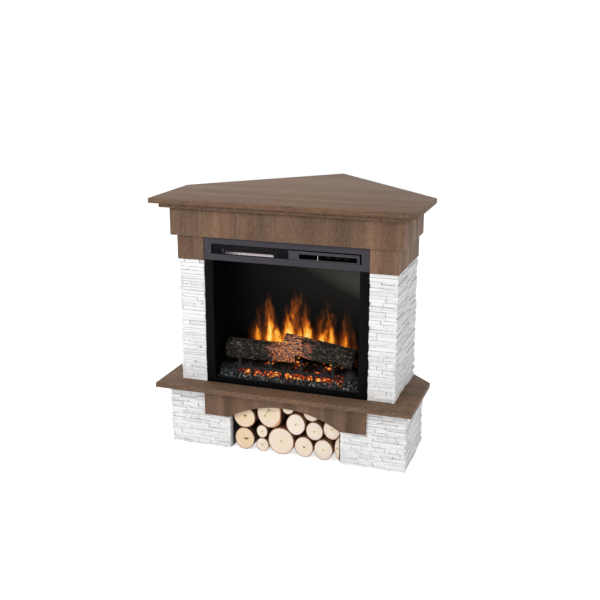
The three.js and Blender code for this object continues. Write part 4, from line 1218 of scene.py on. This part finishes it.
# %% Ember and gravel finishes
def ember_finish():
    finish = Finish("glowing_coals", Roughness=0.8)
    heat = finish.attribute("ember")
    metres = finish.place()
    crust = finish.noise(metres, 75, 3.0, 0.6, 0.5)
    fine = finish.noise(metres, 420, 3.0, 0.6)
    gaps = finish.cells(metres, 60, "DISTANCE_TO_EDGE").within(0.02, 0.2)
    glow = (heat * 1.3 - crust.within(0.4, 0.6) * 0.7 + fine * 0.2 - 0.19).most(0.0) * gaps
    embers = finish.ramp(
        glow,
        (0.0, (0, 0, 0, 1)),
        (0.14, linear(112, 26, 5)),
        (0.42, linear(212, 74, 15)),
        (0.76, linear(250, 122, 28)),
        (1.0, linear(255, 196, 88)),
    )
    char = finish.ramp(fine, (0.35, linear(6, 5, 5)), (0.65, linear(30, 25, 23)))
    finish.set(Base_Color=char, Emission_Color=embers, Emission_Strength=1.0)
    finish.bump(crust, 0.6, 0.002)
    return finish.material


def gravel_finish():
    finish = Finish("slate_gravel", Roughness=0.5)
    tone = finish.attribute("tone")
    metres = finish.place()
    grain = finish.noise(metres, 380, 4.0, 0.65)
    colour = finish.ramp(
        tone * 0.6 + grain * 0.4,
        (0.32, linear(5, 6, 7)),
        (0.52, linear(24, 29, 31)),
        (0.68, linear(66, 78, 80)),
        (0.84, linear(160, 170, 164)),
    )
    finish.set(Base_Color=colour)
    finish.bump(grain, 0.5, 0.001)
    return finish.material


# %% Rough stones
def rough_stone(dice, splits):
    """A mesh of one rough stone about one unit across."""
    bm = bmesh.new()
    bmesh.ops.create_icosphere(bm, subdivisions=splits, radius=0.5)
    seed = any_vector(dice, 0, 50)
    for vert in bm.verts:
        vert.co *= 1 + 0.45 * noise.noise(vert.co * 2.6 + seed)
    return as_mesh(bm, "rough_stone")


def splinter(dice):
    """A mesh of one pointed slate splinter: a cone with few sides, knocked out of true."""
    bm = bmesh.new()
    sides = dice.choice((3, 4, 5))
    bmesh.ops.create_cone(
        bm, cap_ends=True, segments=sides, radius1=0.42, radius2=0.1, depth=1.1
    )
    for vert in bm.verts:
        vert.co += any_vector(dice, -0.14, 0.14)
    bmesh.ops.bevel(
        bm, geom=bm.edges[:], offset=0.05, affect="EDGES", segments=1, profile=0.5, material=-1
    )
    return as_mesh(bm, "splinter")


def scatter(bm, layer, shapes, spots, dice):
    """Adds a stone at each spot: (place, size, value kept in the layer)."""
    for place, size, value in spots:
        first = len(bm.verts)
        bm.from_mesh(dice.choice(shapes))
        bm.verts.ensure_lookup_table()
        verts = bm.verts[first:]
        axis = any_vector(dice, -1, 1)
        turn = Matrix.Rotation(dice.uniform(0, 2 * math.pi), 4, axis)
        thin = size * dice.uniform(0.6, 0.9)
        spread = Matrix.Diagonal((size, thin, size * dice.uniform(0.5, 0.8), 1))
        bmesh.ops.transform(bm, matrix=Matrix.Translation(place) @ turn @ spread, verts=verts)
        for vert in verts:
            vert[layer] = value


# %% The form of the bed
BED_CELL = 4 * MM
bed_low, bed_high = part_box("ember_bed")
grate_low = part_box("grate")[0]
BED_LIP = 17 * MM
BED_CREST = 54 * MM
TRAY = bed_low.z
LEDGE = grate_low.z
LEDGE_DEEP = 8 * MM
SLOPE_START = 6 * MM
SLOPE_DEEP = 38 * MM
SADDLE = Vector((0.238, -0.2516, 0.3425))
HEAP_RADIUS = 30 * MM
HEAP_SKIRT = 16 * MM


def from_saddle(x, y):
    """How far a place is from the heap that the right log rests in."""
    return math.hypot(x - SADDLE.x, y - SADDLE.y)


def bed_height(x, y):
    """The bed's smooth form: a lip in front, a ledge under the legs, a slope and a crest."""
    lip = TRAY + BED_LIP
    ledge_y = grate_low.y + LEDGE_DEEP
    if y < ledge_y:
        share = (y - bed_low.y) / (ledge_y - bed_low.y)
        height = lip + (LEDGE - lip) * share
    else:
        rise = share_of((y - ledge_y - SLOPE_START) / SLOPE_DEEP)
        height = LEDGE + (TRAY + BED_CREST - LEDGE) * rise * (2 - rise)
    heap = (SADDLE.z - height) * share_of((HEAP_RADIUS - from_saddle(x, y)) / HEAP_SKIRT)
    return height + max(0.0, heap)


def ember_heat(x, y):
    """How hot the bed glows: in patches along the front, and in a few flares further back."""
    ends = share_of((x + 0.225) / 0.04) * share_of((0.235 - x) / 0.04)
    front = share_of((y + 0.314) / 0.008)
    band = share_of((-0.262 - y) / 0.03)
    patch = 0.5 + noise.noise(Vector((x * 30, y * 30, 5)))
    flare = max(0.0, 1 - abs(y + 0.217) / 0.032) * max(0.0, math.sin(x * 52 + 0.8) - 0.4)
    return ends * front * (0.06 + band * (0.45 + 0.8 * patch) + 2.6 * flare)


# %% The bed and its coals
COALS = 96
COAL_X = (-0.235, 0.245)
COAL_Y = (-0.300, -0.195)
COAL_SIZE_MM = (16, 27)


def ember_bed():
    dice = random.Random(404)
    bm = bmesh.new()
    heats = bm.verts.layers.float.new("ember")
    wide = bed_high.x - bed_low.x
    deep = bed_high.y - bed_low.y
    made = bmesh.ops.create_grid(
        bm,
        x_segments=round(wide / BED_CELL),
        y_segments=round(deep / BED_CELL),
        size=0.5,
        matrix=Matrix.Diagonal((wide, deep, 1, 1)),
    )
    for vert in made["verts"]:
        x = vert.co.x
        y = vert.co.y + (bed_low.y + bed_high.y) / 2
        lump = noise.fractal(Vector((x * 70, y * 70, 3.3)), 0.6, 2.1, 3)
        floor = 0.0 if vert.is_boundary else abs(lump) * 6 * MM - 2.5 * MM
        lift = -1.5 * MM if from_saddle(x, y) < 24 * MM else floor
        vert.co = Vector((x, y, bed_height(x, y) + lift))
        vert[heats] = ember_heat(x, y)
    rims = [e for e in bm.edges if e.is_boundary]
    walls = bmesh.ops.extrude_edge_only(bm, edges=rims)
    for vert in new_verts(walls):
        vert.co.z = TRAY
    bmesh.ops.holes_fill(bm, edges=[e for e in bm.edges if e.is_boundary], sides=0)
    bmesh.ops.recalc_face_normals(bm, faces=bm.faces)
    shapes = [rough_stone(dice, 2) for _ in range(6)]
    spots = []
    for _ in range(COALS):
        x = dice.uniform(*COAL_X)
        y = dice.uniform(*COAL_Y)
        size = dice.uniform(*COAL_SIZE_MM) * MM
        if from_saddle(x, y) < HEAP_RADIUS + 4 * MM:
            continue
        heat = ember_heat(x, y) * dice.uniform(0.5, 1)
        spots.append((Vector((x, y, bed_height(x, y) + 1 * MM)), size, heat))
    scatter(bm, heats, shapes, spots, dice)
    piece(bm, "moulded_ember_bed", [ember_finish()], ["ember_bed"], smooth=60)


# %% Gravel along the front
FRONT_GRAVEL = 900
FRONT_X = (-0.280, 0.282)
FRONT_Y = (-0.3245, -0.299)
FRONT_SIZE_MM = (8, 15)
END_GRAVEL = 150
LEFT_END_X = (-0.283, -0.215)
RIGHT_END_X = (0.24, 0.283)
END_Y = (-0.312, -0.28)
END_SIZE_MM = (6, 11)


def gravel():
    dice = random.Random(505)
    bm = bmesh.new()
    tones = bm.verts.layers.float.new("tone")
    shapes = [splinter(dice) for _ in range(8)]
    spots = []
    for _ in range(FRONT_GRAVEL):
        x = dice.uniform(*FRONT_X)
        y = dice.uniform(*FRONT_Y)
        size = dice.uniform(*FRONT_SIZE_MM) * MM
        banked = 15 * MM + 10 * MM * share_of((abs(x) - 0.17) / 0.05)
        pile = banked * min(1.0, (y + 0.3285) / 0.014)
        place = Vector((x, y, LEDGE - 4 * MM + dice.uniform(0, 1) * pile))
        spots.append((place, size, dice.random()))
    for _ in range(END_GRAVEL):
        x = dice.choice((dice.uniform(*LEFT_END_X), dice.uniform(*RIGHT_END_X)))
        y = dice.uniform(*END_Y)
        size = dice.uniform(*END_SIZE_MM) * MM
        spots.append((Vector((x, y, bed_height(x, y) + 1.5 * MM)), size, dice.random() * 0.8))
    scatter(bm, tones, shapes, spots, dice)
    piece(bm, "loose_gravel", [gravel_finish()], smooth=30)


ember_bed()
gravel()

# %% [markdown]
# ## Firewood
# The niche holds birch and alder rounds, cut straight across. A round has thin bark and a
# pale end with rings and fine saw marks; a few have darkened or cracked as they dried. Each
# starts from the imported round: its ends are inset for the bark's edge, and its skin is cut
# up and pushed in and out. The finish works from each round's middle, kept in the mesh.


# %% Firewood finishes
def cut_end_finish():
    finish = Finish("sawn_wood", Roughness=0.8, Specular_IOR_Level=0.3)
    from_heart = finish.attribute("from_heart", out=1)
    tone = finish.attribute("tone")
    x, y, z = finish.axes(from_heart)
    wobble = finish.noise(from_heart, 28, 3.0, 0.55) - 0.5
    radius = (x * x + z * z) ** 0.5 + wobble * 0.01
    across, upward = x / finish.attribute("half_wide"), z / finish.attribute("half_high")
    share = (across * across + upward * upward) ** 0.5 + wobble * 0.12
    rings = (radius * 1500.0).maths("SINE") * 0.5 + 0.5
    lines = {"Vector": from_heart, "Rotation": (0, 0.5, 0), "Scale": (1, 1, 0.06)}
    saw = finish.noise(finish.node("ShaderNodeMapping", {}, lines), 700, 2.0, 0.6)
    inner = finish.mix(tone, linear(246, 222, 180), linear(255, 247, 222))
    outer = finish.mix(tone, linear(248, 222, 190), linear(255, 242, 230))
    fresh = finish.mix(share.within(0.1, 0.7), inner, outer)
    stains = finish.noise(from_heart, 34, 3.0, 0.6).within(0.5, 0.8) * 0.28
    pale = finish.mix(stains, fresh, linear(242, 206, 160))
    ringed = finish.mix(rings * 0.09, pale, linear(226, 194, 154))
    sawn = finish.mix(saw.within(0.45, 0.7) * 0.09, ringed, linear(226, 200, 166))
    pith = finish.mix(radius.within(0.013, 0.0) * 0.35, sawn, linear(226, 176, 110))
    edged = finish.mix(share.within(0.86, 0.99) * 0.85, pith, linear(210, 138, 86))
    above = z - finish.attribute("above")
    from_pith = (x * x + above * above) ** 0.5
    marked = finish.mix(from_pith.within(0.004, 0.001) * 0.7, edged, linear(120, 82, 50))
    angle = above.maths("ARCTAN2", x) + wobble * 1.6
    off_line = (angle * finish.attribute("arms") * 0.5).maths("SINE").size() * from_pith
    beyond = from_pith - finish.attribute("split")
    crack = off_line.within(0.0030, 0.0012) * beyond.within(0.0, -0.006)
    finish.set(Base_Color=finish.mix(crack * 0.9, marked, linear(66, 44, 30)))
    finish.bump(saw * 0.3 - crack, 0.5, 0.001)
    return finish.material


def bark_skin_finish():
    finish = Finish("birch_bark", Roughness=0.85)
    tone = finish.attribute("tone")
    metres = finish.place((1, 0.25, 1))
    flakes = finish.noise(metres, 160, 4.0, 0.65)
    colour = finish.ramp(
        flakes * 0.7 + tone * 0.3,
        (0.3, linear(50, 34, 24)),
        (0.55, linear(116, 78, 52)),
        (0.8, linear(176, 134, 98)),
    )
    finish.set(Base_Color=colour)
    finish.bump(flakes, 0.6, 0.0015)
    return finish.material


# %% Rounds in the niche
BARK_THICK = 1.7 * MM
BARK_GAP = 0.4 * MM
END_PROUD = 0.5 * MM

# Each weathered end: how fresh it is, how many cracks leave its heart, how far they reach
# and how far its heart lies above the middle.
WEATHERED = {
    "firewood_01": (0.0, 1, 19 * MM, 0.0),
    "firewood_04": (0.7, 1, 8 * MM, 0.0),
    "firewood_08": (0.15, 1, 12 * MM, 6 * MM),
    "firewood_10": (0.45, 3, 40 * MM, 14 * MM),
}


def firewood(node, cut_end, bark_skin):
    dice = random.Random(node)
    sound = (dice.uniform(0.65, 1.0), 1, -10 * MM, 0.0)
    fresh, arms, split, above = WEATHERED.get(node, sound)
    low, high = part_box(node)
    heart = (low + high) / 2
    bm = copy_of(node)
    values = {
        "tone": fresh,
        "arms": arms,
        "split": split,
        "above": above,
        "half_wide": (high.x - low.x) / 2,
        "half_high": (high.z - low.z) / 2,
    }
    layers = {name: bm.verts.layers.float.new(name) for name in values}
    hearts = bm.verts.layers.float_vector.new("from_heart")
    ends = [f for f in bm.faces if abs(f.normal.y) > 0.9]
    lengthwise = [e for e in bm.edges if abs((e.verts[0].co - e.verts[1].co).normalized().y) > 0.9]
    bmesh.ops.subdivide_edges(bm, edges=lengthwise, cuts=9, use_grid_fill=False)
    seed = any_vector(dice, 0, 60)
    for vert in bm.verts:
        away = (vert.co - heart) * Vector((1, 0, 1))
        push = (noise.noise(vert.co * Vector((30, 16, 30)) + seed) - 0.4) * 1.8 * MM
        vert.co += away.normalized() * push
        vert.co.z = max(vert.co.z, low.z)
    for face in bm.faces:
        face.material_index = 1
    for end in ends:
        bmesh.ops.inset_region(bm, faces=[end], thickness=BARK_THICK, use_even_offset=True)
        end.material_index = 0
        bmesh.ops.inset_region(bm, faces=[end], thickness=BARK_GAP, use_even_offset=True)
        out = math.copysign(END_PROUD, end.normal.y)
        for vert in end.verts:
            vert.co.y += out
    for vert in bm.verts:
        for name, layer in layers.items():
            vert[layer] = values[name]
        vert[hearts] = vert.co - heart
    piece(bm, node + "_round", [cut_end, bark_skin], [node], smooth=50)


CUT_END = cut_end_finish()
BARK_SKIN = bark_skin_finish()
for node in sorted(n for n in NODES if n.startswith("firewood")):
    firewood(node, CUT_END, BARK_SKIN)

# %% [markdown]
# ## Floor and light
# The photograph is a cut-out on white with soft light from the left front. The floor is
# pale and its look to the camera is lifted towards white, but it still takes the shadow.
# The lamps only bring the object to a level at which a colour looks as it was written.


# %% Floor
FLOOR_HALF = 6
FLOOR_LIFT = 0.7


def floor_finish():
    finish = Finish("pale_floor", Base_Color=(0.9, 0.9, 0.9, 1), Roughness=0.9)
    output = finish.tree.nodes["Material Output"]
    strength = finish.sight() * FLOOR_LIFT
    glow = finish.node("ShaderNodeEmission", {}, {"Color": (1, 1, 1, 1), "Strength": strength})
    body = Value(finish, finish.shader.outputs[0])
    finish.feed(output.inputs[0], finish.node("ShaderNodeAddShader", {}, [body, glow]))
    return finish.material


def floor():
    bm = bmesh.new()
    bmesh.ops.create_grid(bm, x_segments=1, y_segments=1, size=FLOOR_HALF)
    made = in_scene(bm, "floor", [floor_finish()])


floor()

# %% Lamps and world
AIM = Vector((0, -0.1, 0.5))
SOFT_LIGHT = 0.42


def lamp(name, place, size, watts):
    data = bpy.data.lights.new(name, "AREA")
    data.shape = "DISK"
    data.size = size
    data.energy = watts
    made = bpy.data.objects.new(name, data)
    made.location = place
    made.rotation_euler = (AIM - Vector(place)).to_track_quat("-Z", "Y").to_euler()
    bpy.context.collection.objects.link(made)


lamp("key_lamp", (-1.9, -3.4, 2.2), 1.5, 62)
lamp("fill_lamp", (2.9, -2.3, 0.35), 1.6, 28)
lamp("top_lamp", (-0.3, -0.6, 3.4), 2.0, 27)

world = bpy.data.worlds.new("studio")
bpy.context.scene.world = world
world.use_nodes = True
studio = Net(world.node_tree)
background = studio.tree.nodes["Background"]
background.inputs["Color"].default_value = (1, 1, 1, 1)
studio.feed(background.inputs["Strength"], studio.sight() * (1 - SOFT_LIGHT) + SOFT_LIGHT)
print("stage, lamps and world ready")
